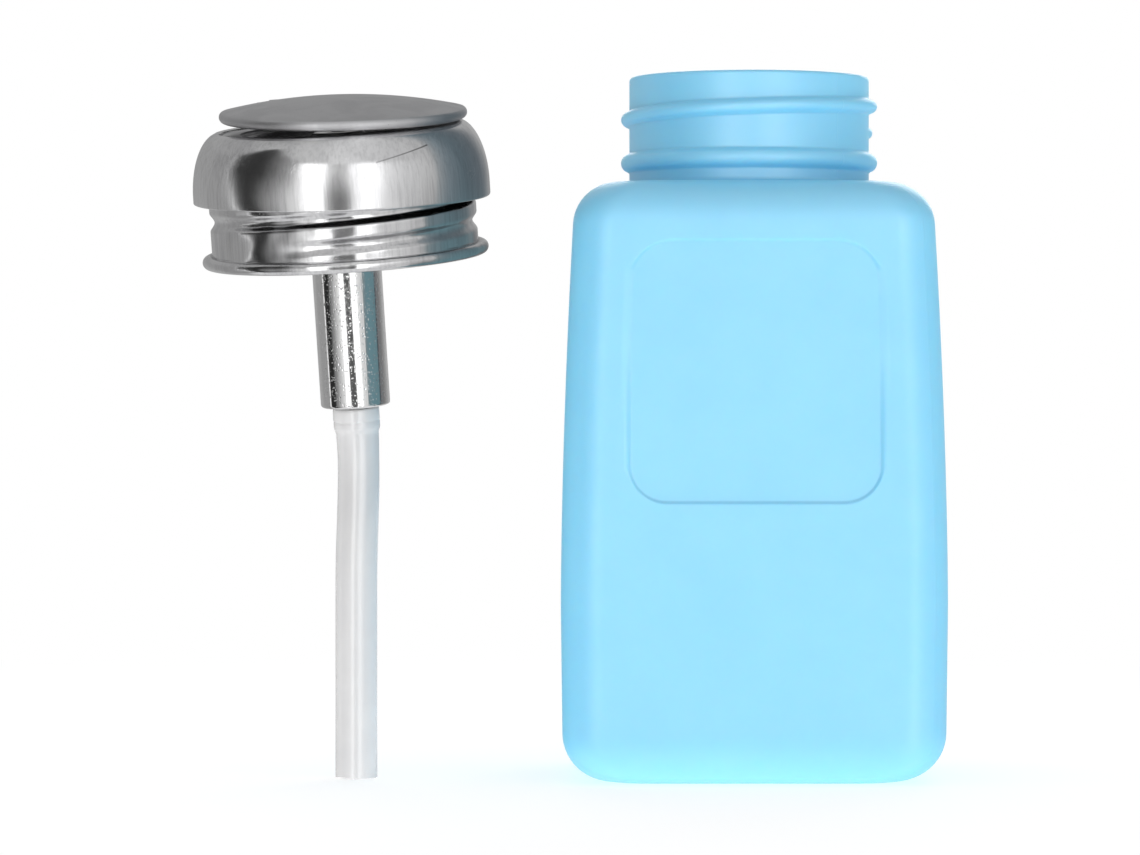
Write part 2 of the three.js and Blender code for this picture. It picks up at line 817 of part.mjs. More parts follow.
function dishNozzle() {
  const bore = stemRadius + seatGap;
  const top = stemTop + seatGap + nozzleRoof;
  const profile = [
    [bore, nozzleFoot],
    [nozzleRadius, nozzleFoot],
    [nozzleRadius, top - nozzleRoof],
    [nozzleRadius - nozzleRoof, top],
    [nozzleHoleRadius, top],
    [nozzleHoleRadius, top - nozzleRoof],
    [bore, top - nozzleRoof],
  ];
  return turned(profile, smallFacets);
}

function stem() {
  const collarFoot = stemCollarTop - stemCollarHeight;
  const profile = [
    [stemBoreRadius, stemTop],
    [stemRadius, stemTop],
    [stemRadius, stemCollarTop],
    [stemCollarRadius, stemCollarTop],
    [stemCollarRadius, collarFoot],
    [stemRadius, collarFoot],
    [stemRadius, stemFoot],
    [stemBoreRadius, stemFoot],
  ];
  return turned(profile, smallFacets);
}

function sealGroove() {
  const middle = (pistonFoot + socketFloor) / 2;
  return { low: middle - sealGrooveHeight / 2, high: middle + sealGrooveHeight / 2 };
}

function piston() {
  const chamber = outletBallRadius + ballGap;
  const groove = sealGroove();
  const grooveRadius = pistonRadius - sealGrooveDepth;
  const profile = [
    [socketRadius, pistonTop],
    [pistonRadius, pistonTop],
    [pistonRadius, groove.high],
    [grooveRadius, groove.high],
    [grooveRadius, groove.low],
    [pistonRadius, groove.low],
    [pistonRadius, pistonFoot],
    [outletSeatRadius, pistonFoot],
    [outletSeatRadius, outletSeatLevel],
    [chamber, outletSeatLevel],
    [chamber, socketFloor],
    [socketRadius, socketFloor],
  ];
  return turned(profile, smallFacets);
}

function pistonSeal() {
  const groove = sealGroove();
  const inner = pistonRadius - sealGrooveDepth + seatGap;
  const outer = cylinderBore - runGap;
  const low = groove.low + seatGap;
  const high = groove.high - seatGap;
  return turned([[inner, low], [outer, low], [outer, high], [inner, high]], smallFacets);
}

// Lid, in a frame whose origin is the hinge pin, whose X points away from the head's axis and whose Y
// lies along the pin.

const lidRadius = domeOpening / 2 + lidOverhang;
const lidReach = lidRadius + hingeReach;
const hingeRadius = lidReach - lidForward;
const lidPlane = domeTop + lidClearance + lidEdge / 2;
const hingeLevel = lidPlane - hingeDrop;

// Round the lid's rolled edge from below, and across its crown from the edge.
const lidEdgeAngles = [-110, -70, -30, 10, 50];
const lidCrownShares = [0.93, 0.8, 0.6, 0.4, 0.2];

function lid() {
  const half = lidEdge / 2;
  const rim = lidRadius;
  const crownFoot = rim - lidCurlWidth;
  const crownRise = lidCrown - half;
  const path = [];
  const bead = [];
  for (const turn of lidEdgeAngles) {
    bead.push([rim - half + half * Math.cos(turn * degree), half * Math.sin(turn * degree)]);
  }
  path.push(...bead);
  for (const share of lidCrownShares) {
    path.push([crownFoot * share, half + crownRise * (1 - share * share)]);
  }
  const under = [...path].slice(bead.length).reverse().map(([x, y]) => [x, y - lidSheet]);
  const top = [0, lidCrown];
  const bottom = [0, lidCrown - lidSheet];
  const curlInside = [rim - lidCurlWidth - lidSheet, half - lidSheet];
  const geometry = turned([bottom, ...under, curlInside, ...path, top], bigFacets);
  geometry.translate(-lidReach, -lidSlide, hingeDrop);
  return geometry;
}

// A bar along Y about the pin.
function crossBar(radius, length, facets) {
  const bar = new THREE.CylinderGeometry(radius, radius, length, facets);
  return toSolid(bar);
}

function boxBetween(low, high) {
  const size = high.map((value, i) => value - low[i]);
  const box = new THREE.BoxGeometry(...size);
  box.translate(...low.map((value, i) => value + size[i] / 2));
  return toSolid(box);
}

function lidKnuckle() {
  const half = knuckleLength / 2;
  const tongueFoot = hingeDrop - lidEdge / 3;
  const tongueTop = hingeDrop + lidEdge / 3;
  const reach = -hingeReach + seatGap;
  const tongue = boxBetween([reach, -half, tongueFoot], [-hingePinRadius - runGap, half, tongueTop]);
  const bore = crossBar(hingePinRadius + runGap, knuckleLength + cutOverrun, pinFacets);
  const knuckle = toGeometry(crossBar(knuckleRadius, knuckleLength, smallFacets).add(tongue).subtract(bore));
  knuckle.translate(0, -lidSlide, 0);
  return knuckle;
}

function hingePin() {
  return new THREE.CylinderGeometry(hingePinRadius, hingePinRadius, hingePinLength, pinFacets);
}

// The dome, grown by the seat gap and filled, in the hinge's frame.
function domeFill() {
  const grown = domeOutside().map(([radius, height]) => [radius + seatGap, height + seatGap]);
  const foot = [[0, domeFootHeight], [domeDiameter / 2 + seatGap, domeFootHeight]];
  const top = [[0, domeTop + seatGap]];
  const fill = turned([...foot, ...grown.slice(1), ...top], bigFacets);
  fill.translate(-hingeRadius, 0, -hingeLevel);
  return toSolid(fill);
}

function hingeBracket() {
  const inner = knuckleLength / 2 + lidSlide + seatGap;
  const outer = inner + earThickness;
  const foot = domeTop - hingeLevel - domeShoulder / 4;
  const webTop = -knuckleRadius - seatGap;
  const eyes = crossBar(earRadius, 2 * outer, smallFacets);
  const block = boxBetween([-earRadius, -outer, foot], [earRadius, outer, 0]);
  const slot = boxBetween([-hingeReach, -inner, webTop], [hingeReach, inner, knuckleRadius]);
  const bore = crossBar(hingePinRadius + runGap / 2, 2 * outer + cutOverrun, pinFacets);
  return toGeometry(eyes.add(block).subtract(slot).subtract(bore).subtract(domeFill()));
}

// How far the tube is swollen over the barb, at its end, along it and where it settles to its own size.
const tubeSwellShares = [0.6, 1, 1, 0.25];

// Dip tube, from the barb straight on for a little, then in one slow bend down to the surface.
function dipTube(start, axis, foot) {
  const straight = axis.clone().multiplyScalar(-(tubeSwollenLength + seatGap));
  const bendStart = start.clone().add(straight);
  const handle = axis.clone().multiplyScalar(-tubeBendLength / 3);
  const bendEnd = new THREE.Vector3(foot.x, foot.y, bendStart.z - tubeBendLength);
  const lowHandle = bendEnd.clone();
  lowHandle.z += tubeBendLength / 3;
  const bend = new THREE.CubicBezierCurve3(bendStart, bendStart.clone().add(handle), lowHandle, bendEnd);
  const up = axis.clone();
  const stations = [];
  const taper = tubeSwollenDiameter - tubeDiameter;
  const mark = taper / 2;
  const along = [0, mark, tubeSwollenLength - mark, tubeSwollenLength];
  along.forEach((run, i) => {
    const at = start.clone().addScaledVector(axis, -run);
    stations.push({ at, up, swell: tubeSwellShares[i] });
  });
  const bendSteps = 7;
  for (let i = 0; i <= bendSteps; i++) {
    const share = i / bendSteps;
    stations.push({ at: bend.getPoint(share), up: bend.getTangent(share).negate(), swell: 0 });
  }
  stations.push({ at: foot.clone(), up: new THREE.Vector3(0, 0, 1), swell: 0 });
  const wallRings = (diameter, grown, reverse) => {
    const rings = stations.map(({ at, up: along3, swell: share }) => {
      const radius = (diameter + grown * share) / 2;
      const side = new THREE.Vector3(0, 1, 0).cross(along3).normalize();
      const other = along3.clone().cross(side).normalize();
      const ring = [];
      for (let j = 0; j < tubeFacets; j++) {
        const angle = (j * 2 * Math.PI) / tubeFacets;
        ring.push(
          at
            .clone()
            .addScaledVector(side, radius * Math.cos(angle))
            .addScaledVector(other, radius * Math.sin(angle)),
        );
      }
      return ring;
    });
    return reverse ? rings.reverse() : rings;
  };
  const boreGrowth = 2 * (barbRadius + runGap) - tubeBore;
  const outside = wallRings(tubeDiameter, taper, false);
  const inside = wallRings(tubeBore, boreGrowth, true);
  return skin([...outside, ...inside], true);
}

// Assembly

const steel = finishes.steel;
const satin = finishes.brushedSteel;

function hingeGroup() {
  const hinge = new THREE.Group();
  hinge.rotation.z = hingeAzimuthAngle * degree;
  const pivot = new THREE.Group();
  pivot.position.set(hingeRadius, 0, hingeLevel);
  pivot.add(piece("hinge_bracket", hingeBracket(), steel()));
  pivot.add(piece("hinge_pin", hingePin(), steel()));
  const swing = new THREE.Group();
  swing.rotation.order = "YXZ";
  swing.rotation.set(lidSkewAngle * degree, lidOpenAngle * degree, 0);
  swing.add(piece("lid", lid(), satin()));
  swing.add(piece("lid_knuckle", lidKnuckle(), satin()));
  pivot.add(swing);
  hinge.add(pivot);
  return hinge;
}

function pumpHead() {
  const head = new THREE.Group();
  head.add(piece("threaded_shell", threadedShell(), steel()));
  head.add(piece("dome_collar", domeCollar(), steel()));
  head.add(piece("neck_liner", neckLiner(), finishes.whitePlastic()));
  head.add(piece("well_cup", wellCup(), satin()));
  head.add(piece("cylinder_washer", cylinderWasher(), finishes.seal()));
  head.add(piece("cylinder", cylinder(), steel()));
  head.add(piece("cylinder_nut", cylinderNut(), steel()));
  head.add(piece("guide_bush", guideBush(), finishes.whitePlastic()));
  head.add(piece("foot_valve_plug", footValvePlug(), finishes.whitePlastic()));
  const inletCage = ballCage(cylinderBore - seatGap, inletCageFoot, 2 * cageHoleRadius);
  head.add(piece("inlet_ball_cage", inletCage, steel()));
  head.add(piece("inlet_ball", ball(inletBallRadius, inletBallLevel), steel()));
  head.add(piece("return_spring", returnSpring(), steel()));
  head.add(piece("press_dish", pressDish(), satin()));
  head.add(piece("dish_nozzle", dishNozzle(), steel()));
  head.add(piece("stem", stem(), steel()));
  head.add(piece("piston", piston(), finishes.whitePlastic()));
  head.add(piece("piston_seal", pistonSeal(), finishes.seal()));
  const outletCageFoot = outletCageTop - cageThickness;
  head.add(piece("outlet_ball_cage", ballCage(stemRadius, outletCageFoot, cageHoleRadius), steel()));
  head.add(piece("outlet_ball", ball(outletBallRadius, outletBallLevel), steel()));
  head.add(hingeGroup());
  return head;
}

const group = new THREE.Group();
group.add(piece("bottle", bottle(), finishes.bluePlastic()));

const head = pumpHead();
head.rotation.order = "YXZ";
head.rotation.set(headPitchAngle * degree, -headLeanAngle * degree, 0);
const axis = new THREE.Vector3(0, 0, 1).applyEuler(head.rotation);
const tubeFoot = new THREE.Vector3(-standDistance, -standForward, 0);
const cylinderEnd = new THREE.Vector3(tubeFoot.x - cylinderLeft, -cylinderForward, tubeDrop);
head.position.copy(cylinderEnd).addScaledVector(axis, cylinderFoot);
group.add(head);
const tubeTop = cylinderEnd.clone().addScaledVector(axis, -seatGap);
group.add(piece("dip_tube", dipTube(tubeTop, axis, tubeFoot), finishes.tube()));

// The origin lies on the standing surface, under the middle of the pair.
group.updateMatrixWorld(true);
const middle = new THREE.Box3().setFromObject(group, true).getCenter(new THREE.Vector3());
group.position.set(-middle.x, -middle.y, 0);

export default group;
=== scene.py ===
# Looks of the solvent dispenser bottle: a square blue bottle and, beside it, the metal pump head that
# was unscrewed from it. The scene is in metres, and its sizes are given in millimetres.
import json
from math import atan2, cos, degrees, exp, hypot, pi, radians, remainder, sin, sqrt

import bpy
from mathutils import Matrix, Vector


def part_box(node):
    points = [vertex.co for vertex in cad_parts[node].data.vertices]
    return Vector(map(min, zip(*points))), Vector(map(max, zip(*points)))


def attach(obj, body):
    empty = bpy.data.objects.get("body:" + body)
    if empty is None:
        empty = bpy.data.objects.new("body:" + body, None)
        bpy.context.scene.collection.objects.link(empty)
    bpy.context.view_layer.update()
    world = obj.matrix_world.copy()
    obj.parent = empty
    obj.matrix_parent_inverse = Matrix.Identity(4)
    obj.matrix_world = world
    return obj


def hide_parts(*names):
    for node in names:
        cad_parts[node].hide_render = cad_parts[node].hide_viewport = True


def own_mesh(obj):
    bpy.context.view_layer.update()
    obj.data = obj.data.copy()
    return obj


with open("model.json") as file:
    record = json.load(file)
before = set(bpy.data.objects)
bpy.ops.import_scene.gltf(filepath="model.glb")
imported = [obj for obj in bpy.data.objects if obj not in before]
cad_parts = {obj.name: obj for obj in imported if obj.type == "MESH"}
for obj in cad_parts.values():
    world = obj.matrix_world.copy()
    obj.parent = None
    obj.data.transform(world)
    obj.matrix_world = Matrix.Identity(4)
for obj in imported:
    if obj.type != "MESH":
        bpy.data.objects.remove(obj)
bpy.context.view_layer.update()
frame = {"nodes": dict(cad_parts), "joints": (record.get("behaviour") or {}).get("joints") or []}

MM = 0.001


class Sizes:
    """Named sizes, given in millimetres and kept in metres. A step is that of the mesh there."""

    def __init__(self, **values):
        for name, value in values.items():
            setattr(self, name, value * MM)


JOINTS = {joint["name"]: joint for joint in frame["joints"]}

# Bottle
BOTTLE = Sizes(width=61.1, wide_height=28, foot_width=60.45, shoulder_width=56.5, wall=1.3)
SHOULDER_HEIGHT = 95.42 * MM
TAPER_POWER = 1.69
CORNER_RADIUS = 6.8 * MM
BASE_RADIUS = 8.1 * MM
SHOULDER_RADIUS = 6.8 * MM
STANDING_RING = 4.0 * MM
PUSH_UP = 1.5 * MM

# Label panel in the front face
PANEL = Sizes(
    width=39.7, height=41.2, foot=44.5, depth=0.45, edge=0.45, upper_radius=7.2, lower_radius=6,
    step=0.2,
)

# Neck
NECK = Sizes(radius=19.45, bore=17.45, height=17.7, fillet=0.8, step=0.16)
LIP_HEIGHT = SHOULDER_HEIGHT + NECK.height
LIP_RADIUS = 0.6 * MM
THREAD = Sizes(proud=1.35, pitch=4.23, height=2.2, start_depth=9.1)
THREAD_START_ANGLE = radians(-14)
THREAD_TURNS = 1.26
THREAD_FADE = radians(34)
RING_DEPTH = 13.9 * MM
RING_HEIGHT = 2.75 * MM

# The mould's parting line, a fine ridge with a step beside it, less of it on the body than on the neck.
# Its widths are in degrees round the bottle.
SEAM_ANGLE = radians(-45.6)
SEAM_PROUD = 0.07 * MM
SEAM_STEP = 0.05 * MM
SEAM_BODY_SHARE = 0.6
SEAM_WIDTH = 0.28
SEAM_STEP_WIDTH = 0.6
SEAM_STEP_FADE = (14, 24)

# Pump head, in heights along its axis from the middle of the rolled rim
LINER_MIDDLE = 16.3 * MM
SHELL = Sizes(radius=21.35, sheet=0.4, plate=17.5, top_radius=1.2, hole=16.3, step=0.2)
GROOVE = Sizes(depth=0.75, width=2.9, start=2.8)
GROOVE_ANGLE = radians(-122)
GROOVE_TURNS = 1.77
GROOVE_FADE = radians(30)
GROOVE_POWER = 1.6
CURL_RADIUS = 1.0 * MM
DOME = Sizes(
    radius=23.75, opening=19, foot=8.8, straight=1.7, shoulder=10.07, sheet=0.4, hem=1.1, hem_radius=0.35,
    hem_skew=0.65, lip_radius=0.45, seat=18.2, seat_width=1.9,
)
WELL = Sizes(flange=18.7, bore=15.5, top=20.17, floor=6.07, sheet=0.5, lip_radius=0.4, floor_radius=0.8)
DISH = Sizes(radius=15.2, top=19.57, skirt=2, corner=0.5, rim=1.2, depth=2.2, hole=3.2, sheet=0.5)
NOZZLE = Sizes(radius=4.6, foot=17.895, top=19.695, roof=0.6, hole=0.9)
LID = Sizes(radius=19.8, edge=1.8, crown=2.9, sheet=0.4, curl=1.5, slide=0.45)
LID_CREASE = radians(53)
LID_OPEN = radians(-2.4)
LID_SKEW = radians(1.2)
HINGE_REACH = 1.5 * MM
HINGE_DROP = 0.37 * MM
PIN = Sizes(radius=0.75, length=8.8, edge=0.3)
KNUCKLE = Sizes(radius=1.35, length=4.4, play=0.15, bevel=0.15)
TONGUE_REACH = 1.75 * MM
TONGUE_SHEET = 0.7 * MM
CYLINDER = Sizes(
    radius=5.575, bore=4.875, top=8.47, foot=-24.5, foot_hole=3.05, foot_edge=0.5, flange=8.3,
    flange_height=1, lip=0.8,
)
SPRING_TURNS = 6
TUBE = Sizes(radius=3.35, bore=2.5, swollen=3.75, swollen_bore=2.95, swollen_length=3.9, bend=24, cut=0.4)
SEAT_GAP = 0.3 * MM

# How many steps the finer meshes have
DOME_STEPS = 28
DOME_STEPS_IN_LIP = 2
DISH_STEPS = 18
CROWN_STEPS = 26
UNDERSIDE_STEPS = 20
TUBE_BEND_STEPS = 30
TUBE_SIDES = 72
KNUCKLE_SIDES = 48
SPRING_STEPS = 40
SPRING_SIDES = 14

# Camera, as the photograph was taken
PHOTO_WIDTH = 1140
FOCAL_PIXELS = 4920
SENSOR_WIDTH = 36.0
CAMERA = Sizes(distance=800, height=56.3, left=29.1)
NEAREST_SEEN = 10 * MM

bottle_low, bottle_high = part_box("bottle")
BOTTLE_AXIS = Vector(((bottle_low.x + bottle_high.x) / 2, (bottle_low.y + bottle_high.y) / 2, 0))
liner_low, liner_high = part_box("neck_liner")
HEAD_AXIS = -Vector(JOINTS["dish_press"]["axis"]).normalized()
HEAD_ORIGIN = (liner_low + liner_high) / 2 - HEAD_AXIS * LINER_MIDDLE


def space(x_axis, y_axis, z_axis, origin):
    """The matrix of a space with these axes and this origin."""
    return Matrix.Translation(origin) @ Matrix((x_axis, y_axis, z_axis)).transposed().to_4x4()


head_x = Vector((0, 1, 0)).cross(HEAD_AXIS).normalized()
HEAD = space(head_x, HEAD_AXIS.cross(head_x), HEAD_AXIS, HEAD_ORIGIN)
hinge_y = Vector(JOINTS["lid_hinge"]["axis"]).normalized()
hinge_x = hinge_y.cross(HEAD_AXIS).normalized()
HINGE = space(hinge_x, hinge_y, HEAD_AXIS, Vector(JOINTS["lid_hinge"]["pos_m"]))
LID_SWING = HINGE @ Matrix.Rotation(LID_OPEN, 4, "Y") @ Matrix.Rotation(LID_SKEW, 4, "X")
LIE_ALONG_Y = Matrix.Rotation(-pi / 2, 4, "X")


def add_object(name, data):
    obj = bpy.data.objects.new(name, data)
    bpy.context.scene.collection.objects.link(obj)
    return obj


def make_camera():
    data = bpy.data.cameras.new("camera")
    data.sensor_fit = "HORIZONTAL"
    data.sensor_width = SENSOR_WIDTH
    data.lens = SENSOR_WIDTH * FOCAL_PIXELS / PHOTO_WIDTH
    data.clip_start = NEAREST_SEEN
    camera = add_object("camera", data)
    camera.location = (BOTTLE_AXIS.x - CAMERA.left, BOTTLE_AXIS.y - CAMERA.distance, CAMERA.height)
    camera.rotation_euler = (pi / 2, 0, 0)
    bpy.context.scene.camera = camera
    bpy.context.scene.view_settings.view_transform = "Standard"


# Shader trees


class Tree:
    """Short ways to add nodes to a shader tree and to join them."""

    def __init__(self, tree):
        self.tree = tree
        tree.nodes.clear()

    def node(self, kind, *values, **named):
        """A new node. Values go to its first sockets; a name with a capital is a socket's, with _ for a
        space, and any other is a setting's."""
        node = self.tree.nodes.new(kind)
        for name, value in named.items():
            if name[0].islower():
                setattr(node, name, value)
        for socket, value in zip(node.inputs, values):
            self.set(socket, value)
        for name, value in named.items():
            if name[0].isupper():
                self.set(node.inputs[name.replace("_", " ")], value)
        return node

    def add(self, kind, *values, **named):
        """The outputs of a new node."""
        return self.node(kind, *values, **named).outputs

    def set(self, socket, value):
        if isinstance(value, bpy.types.NodeSocket):
            self.tree.links.new(value, socket)
        else:
            socket.default_value = value

    def math(self, operation, *values):
        return self.add("ShaderNodeMath", *values, operation=operation)[0]

    def vector(self, operation, *values, **named):
        return self.add("ShaderNodeVectorMath", *values, operation=operation, **named)[0]

    def clamped(self, value, low, high, new_low=0.0, new_high=1.0, smooth=False):
        kind = "SMOOTHSTEP" if smooth else "LINEAR"
        places = (value, low, high, new_low, new_high)
        return self.add("ShaderNodeMapRange", *places, interpolation_type=kind)[0]

    def mix(self, share, first, second):
        """A blend of two colours; the sockets 6, 7 and 2 are the node's colour ones."""
        node = self.node("ShaderNodeMix", share, data_type="RGBA")
        self.set(node.inputs[6], rgba(first))
        self.set(node.inputs[7], rgba(second))
        return node.outputs[2]

    def ramp(self, value, stops):
        """A colour for each value, from stops of (place, colour or level)."""
        node = self.node("ShaderNodeValToRGB", value)
        elements = node.color_ramp.elements
        while len(elements) < len(stops):
            elements.new(0.5)
        for element, (place, color) in zip(elements, stops):
            element.position = place
            element.color = rgba(color)
        return node.outputs[0]

    def noise(self, vector, scale, detail=3.0, roughness=0.5, distortion=0.0):
        kind = {"Detail": detail, "Roughness": roughness, "Distortion": distortion}
        return self.add("ShaderNodeTexNoise", Vector=vector, Scale=scale, **kind)[0]

    def place(self):
        """The object's own coordinates, in metres."""
        return self.add("ShaderNodeTexCoord")["Object"]

    def split(self, vector):
        return self.add("ShaderNodeSeparateXYZ", vector)

    def bearing(self, xyz):
        """The angle of a place round Z, from the front towards the right."""
        return self.math("ARCTAN2", xyz["X"], self.math("MULTIPLY", xyz["Y"], -1.0))

    def straight_on(self):
        """One for what the camera sees, also through the tube's wall, and zero for light on surfaces."""
        path = self.add("ShaderNodeLightPath")
        return self.math("MAXIMUM", path["Is Camera Ray"], path["Is Transmission Ray"])

    def shared(self, name, vector, **values):
        """A shared effect, with values of its own for this material."""
        return self.add("ShaderNodeGroup", vector, node_tree=GROUPS[name], **values)

    def glow(self, color):
        return self.add("ShaderNodeEmission", color, 1.0)[0]

    def bump(self, height, strength, distance):
        return self.add("ShaderNodeBump", Height=height, Strength=strength, Distance=distance)[0]

    def surface(self, shader):
        self.node("ShaderNodeOutputMaterial", shader)


def rgba(color):
    """The four parts of a colour, given as one level or as three parts; a socket stays as it is."""
    if isinstance(color, bpy.types.NodeSocket):
        return color
    return (*color, 1) if isinstance(color, tuple) else (color, color, color, 1)


def material_tree(name):
    material = bpy.data.materials.new(name)
    material.use_nodes = True
    return material, Tree(material.node_tree)


# Backdrop, floor and light

# What polished metal sees round it, as (degrees from the photograph's direction towards the right, level):
# the studio's walls a little below eye level, a little above it, and what hangs overhead.
LOW_WALLS = (
    (-180, 0.5), (-146, 0.46), (-125, 0.36), (-93, 0.36), (-92, 1.3), (-89, 1.3), (-88, 0.03), (-69, 0.03),
    (-63, 0.24), (-56, 0.3), (-49, 0.52), (-41, 0.68), (-34, 0.85), (-28, 1), (-25, 2), (-12, 2),
    (-9.5, 0.12), (11, 0.12), (13.5, 2), (30, 2), (33, 0.95), (40, 0.8), (62, 0.74), (75, 0.45),
    (112, 0.25), (122, 0.38), (180, 0.5),
)
HIGH_WALLS = (
    (-180, 0.38), (-99, 0.35), (-98, 0.9), (-95, 0.9), (-94, 0.03), (-62, 0.03), (-46, 0.22), (-33, 0.45),
    (-27, 2), (-11, 2), (-8, 0.45), (8, 0.5), (11, 2), (31, 2), (34, 1.05), (42, 0.95), (60, 0.76),
    (79, 0.54), (99, 0.28), (119, 0.2), (139, 0.28), (159, 0.38), (180, 0.4),
)
OVERHEAD = (
    (-180, 0.38), (-100, 0.42), (-60, 0.5), (-25, 0.64), (10, 0.88), (40, 0.75), (80, 0.56), (120, 0.4),
    (180, 0.38),
)
WALL_GAIN = 2.0
LOW_AND_HIGH = (-14.0, 16.0)

# Where the walls end, in degrees up, and how far a dark hood on the left rises above that.
WALL_TOP = 24.0
WALL_TOP_BLEND = 2.0
HOOD_AT, HOOD_WIDTH, HOOD_RISE = -66.0, 22.0, 24.0
FLOOR_LEVELS = (-50.0, -42.0)
MIRRORED_FLOOR = (0.85, 0.85, 0.86)

# How light the studio is on matt surfaces, from straight below to straight above, and its share at the sides.
MATT_LEVELS = ((0.0, 0.9), (0.5, 0.55), (0.72, 0.65), (1.0, 1.0))
MATT_SIDES = 0.88
MATT_FRONT_WIDTH = 0.2


def wall_levels(tree, share, stops):
    low, high = stops[0][0], stops[-1][0]
    ramp = tree.ramp(share, [((at - low) / (high - low), level / WALL_GAIN) for at, level in stops])
    return tree.vector("SCALE", ramp, Scale=WALL_GAIN)


def studio_world():
    """White to the camera, a plain level on matt surfaces, and soft boxes between darker walls on gloss."""
    world = bpy.data.worlds.new("studio")
    bpy.context.scene.world = world
    world.use_nodes = True
    tree = Tree(world.node_tree)
    xyz = tree.split(tree.add("ShaderNodeTexCoord")["Generated"])
    heading = tree.math("DEGREES", tree.bearing(xyz))
    elevation = tree.math("DEGREES", tree.math("ARCSINE", xyz["Z"]))
    share = tree.clamped(heading, -180, 180)
    height = tree.clamped(elevation, *LOW_AND_HIGH, smooth=True)
    walls = tree.mix(height, wall_levels(tree, share, LOW_WALLS), wall_levels(tree, share, HIGH_WALLS))
    off = tree.math("DIVIDE", tree.math("SUBTRACT", heading, HOOD_AT), HOOD_WIDTH)
    hood = tree.math("EXPONENT", tree.math("MULTIPLY", tree.math("MULTIPLY", off, off), -1.0))
    top = tree.math("MULTIPLY_ADD", hood, HOOD_RISE, WALL_TOP)
    over = tree.clamped(tree.math("SUBTRACT", elevation, top), -WALL_TOP_BLEND, WALL_TOP_BLEND, smooth=True)
    gloss = tree.mix(over, walls, wall_levels(tree, share, OVERHEAD))
    gloss = tree.mix(tree.clamped(elevation, *FLOOR_LEVELS, 1.0, 0.0, smooth=True), gloss, MIRRORED_FLOOR)
    side = tree.clamped(tree.math("ABSOLUTE", xyz["X"]), MATT_FRONT_WIDTH, 1.0, 1.0, MATT_SIDES)
    matt = tree.vector("SCALE", tree.ramp(tree.clamped(elevation, -90, 90), MATT_LEVELS), Scale=side)
    seen = tree.mix(tree.add("ShaderNodeLightPath")["Is Glossy Ray"], matt, gloss)
    color = tree.mix(tree.straight_on(), seen, 1)
    tree.node("ShaderNodeOutputWorld", tree.add("ShaderNodeBackground", color, 1.0)[0])


def add_card(name, corners, material):
    """A flat four-cornered card, which isn't part of the object."""
    mesh = bpy.data.meshes.new(name)
    mesh.from_pydata(corners, [], [(0, 1, 2, 3)])
    mesh.materials.append(material)
    card = add_object(name, mesh)
    return card


# The floor: its half width, where it fades into the backdrop, its glow as the camera sees it near the
# object, its matt colour there, and its glow as it lights the object.
FLOOR_REACH = 0.9
FLOOR_FADE = (0.14, 0.4)
FLOOR_WHITE = 0.53
FLOOR_PALE = 0.6
FLOOR_BOUNCE = 1.25


def make_floor():
    """A pale floor that keeps the shadows near the object and fades into the white backdrop."""
    material, tree = material_tree("floor")
    away = tree.add("ShaderNodeVectorMath", tree.place(), operation="LENGTH")["Value"]
    fade = tree.clamped(away, *FLOOR_FADE, smooth=True)
    direct = tree.straight_on()
    pale = tree.mix(tree.math("MULTIPLY", fade, direct), FLOOR_PALE, 0)
    white = tree.glow(tree.mix(direct, FLOOR_BOUNCE, tree.mix(fade, FLOOR_WHITE, 1)))
    tree.surface(tree.add("ShaderNodeAddShader", tree.add("ShaderNodeBsdfDiffuse", pale)[0], white)[0])
    reach = FLOOR_REACH
    corners = [(-reach, -reach, 0), (reach, -reach, 0), (reach, reach, 0), (-reach, reach, 0)]
    add_card("floor", corners, material).visible_glossy = False


# The reflection card: a card between the head and the bottle that only reflections see. It glows with a
# painted reflection of the bottle's shaded side in dull teal, blue-grey and a dark strip. Its foot is a pale
# painted reflection on the head's side, and its colours run from its front to its back, with one row below
# the split and one above.
REFLECTION_CARD = Sizes(left=-9, front=-29, back=90, top=260)
REFLECTION_CARD_SPLIT = (78.0 * MM, 98.0 * MM)
PALE_REFLECTION_FOOT = (42.0 * MM, 50.0 * MM)
PAINTED_PALE_REFLECTION = 0.85
# Colours of the painted reflection: teal and blue-grey for the bottle's shaded side, a dark painted strip,
# then greys.
PAINTED_REFLECTION_LOW = (
    (0.0, (0.26, 0.31, 0.32)), (0.034, (0.19, 0.27, 0.3)), (0.067, (0.16, 0.28, 0.32)),
    (0.18, (0.15, 0.265, 0.3)), (0.192, (0.06, 0.07, 0.08)), (0.212, (0.2, 0.2, 0.21)), (0.254, 0.21),
    (0.32, 0.34), (0.45, 0.5),
)
PAINTED_REFLECTION_HIGH = (
    (0.0, (0.34, 0.36, 0.37)), (0.034, (0.2, 0.25, 0.28)), (0.075, (0.12, 0.165, 0.19)),
    (0.14, (0.14, 0.165, 0.185)), (0.22, 0.45),
)


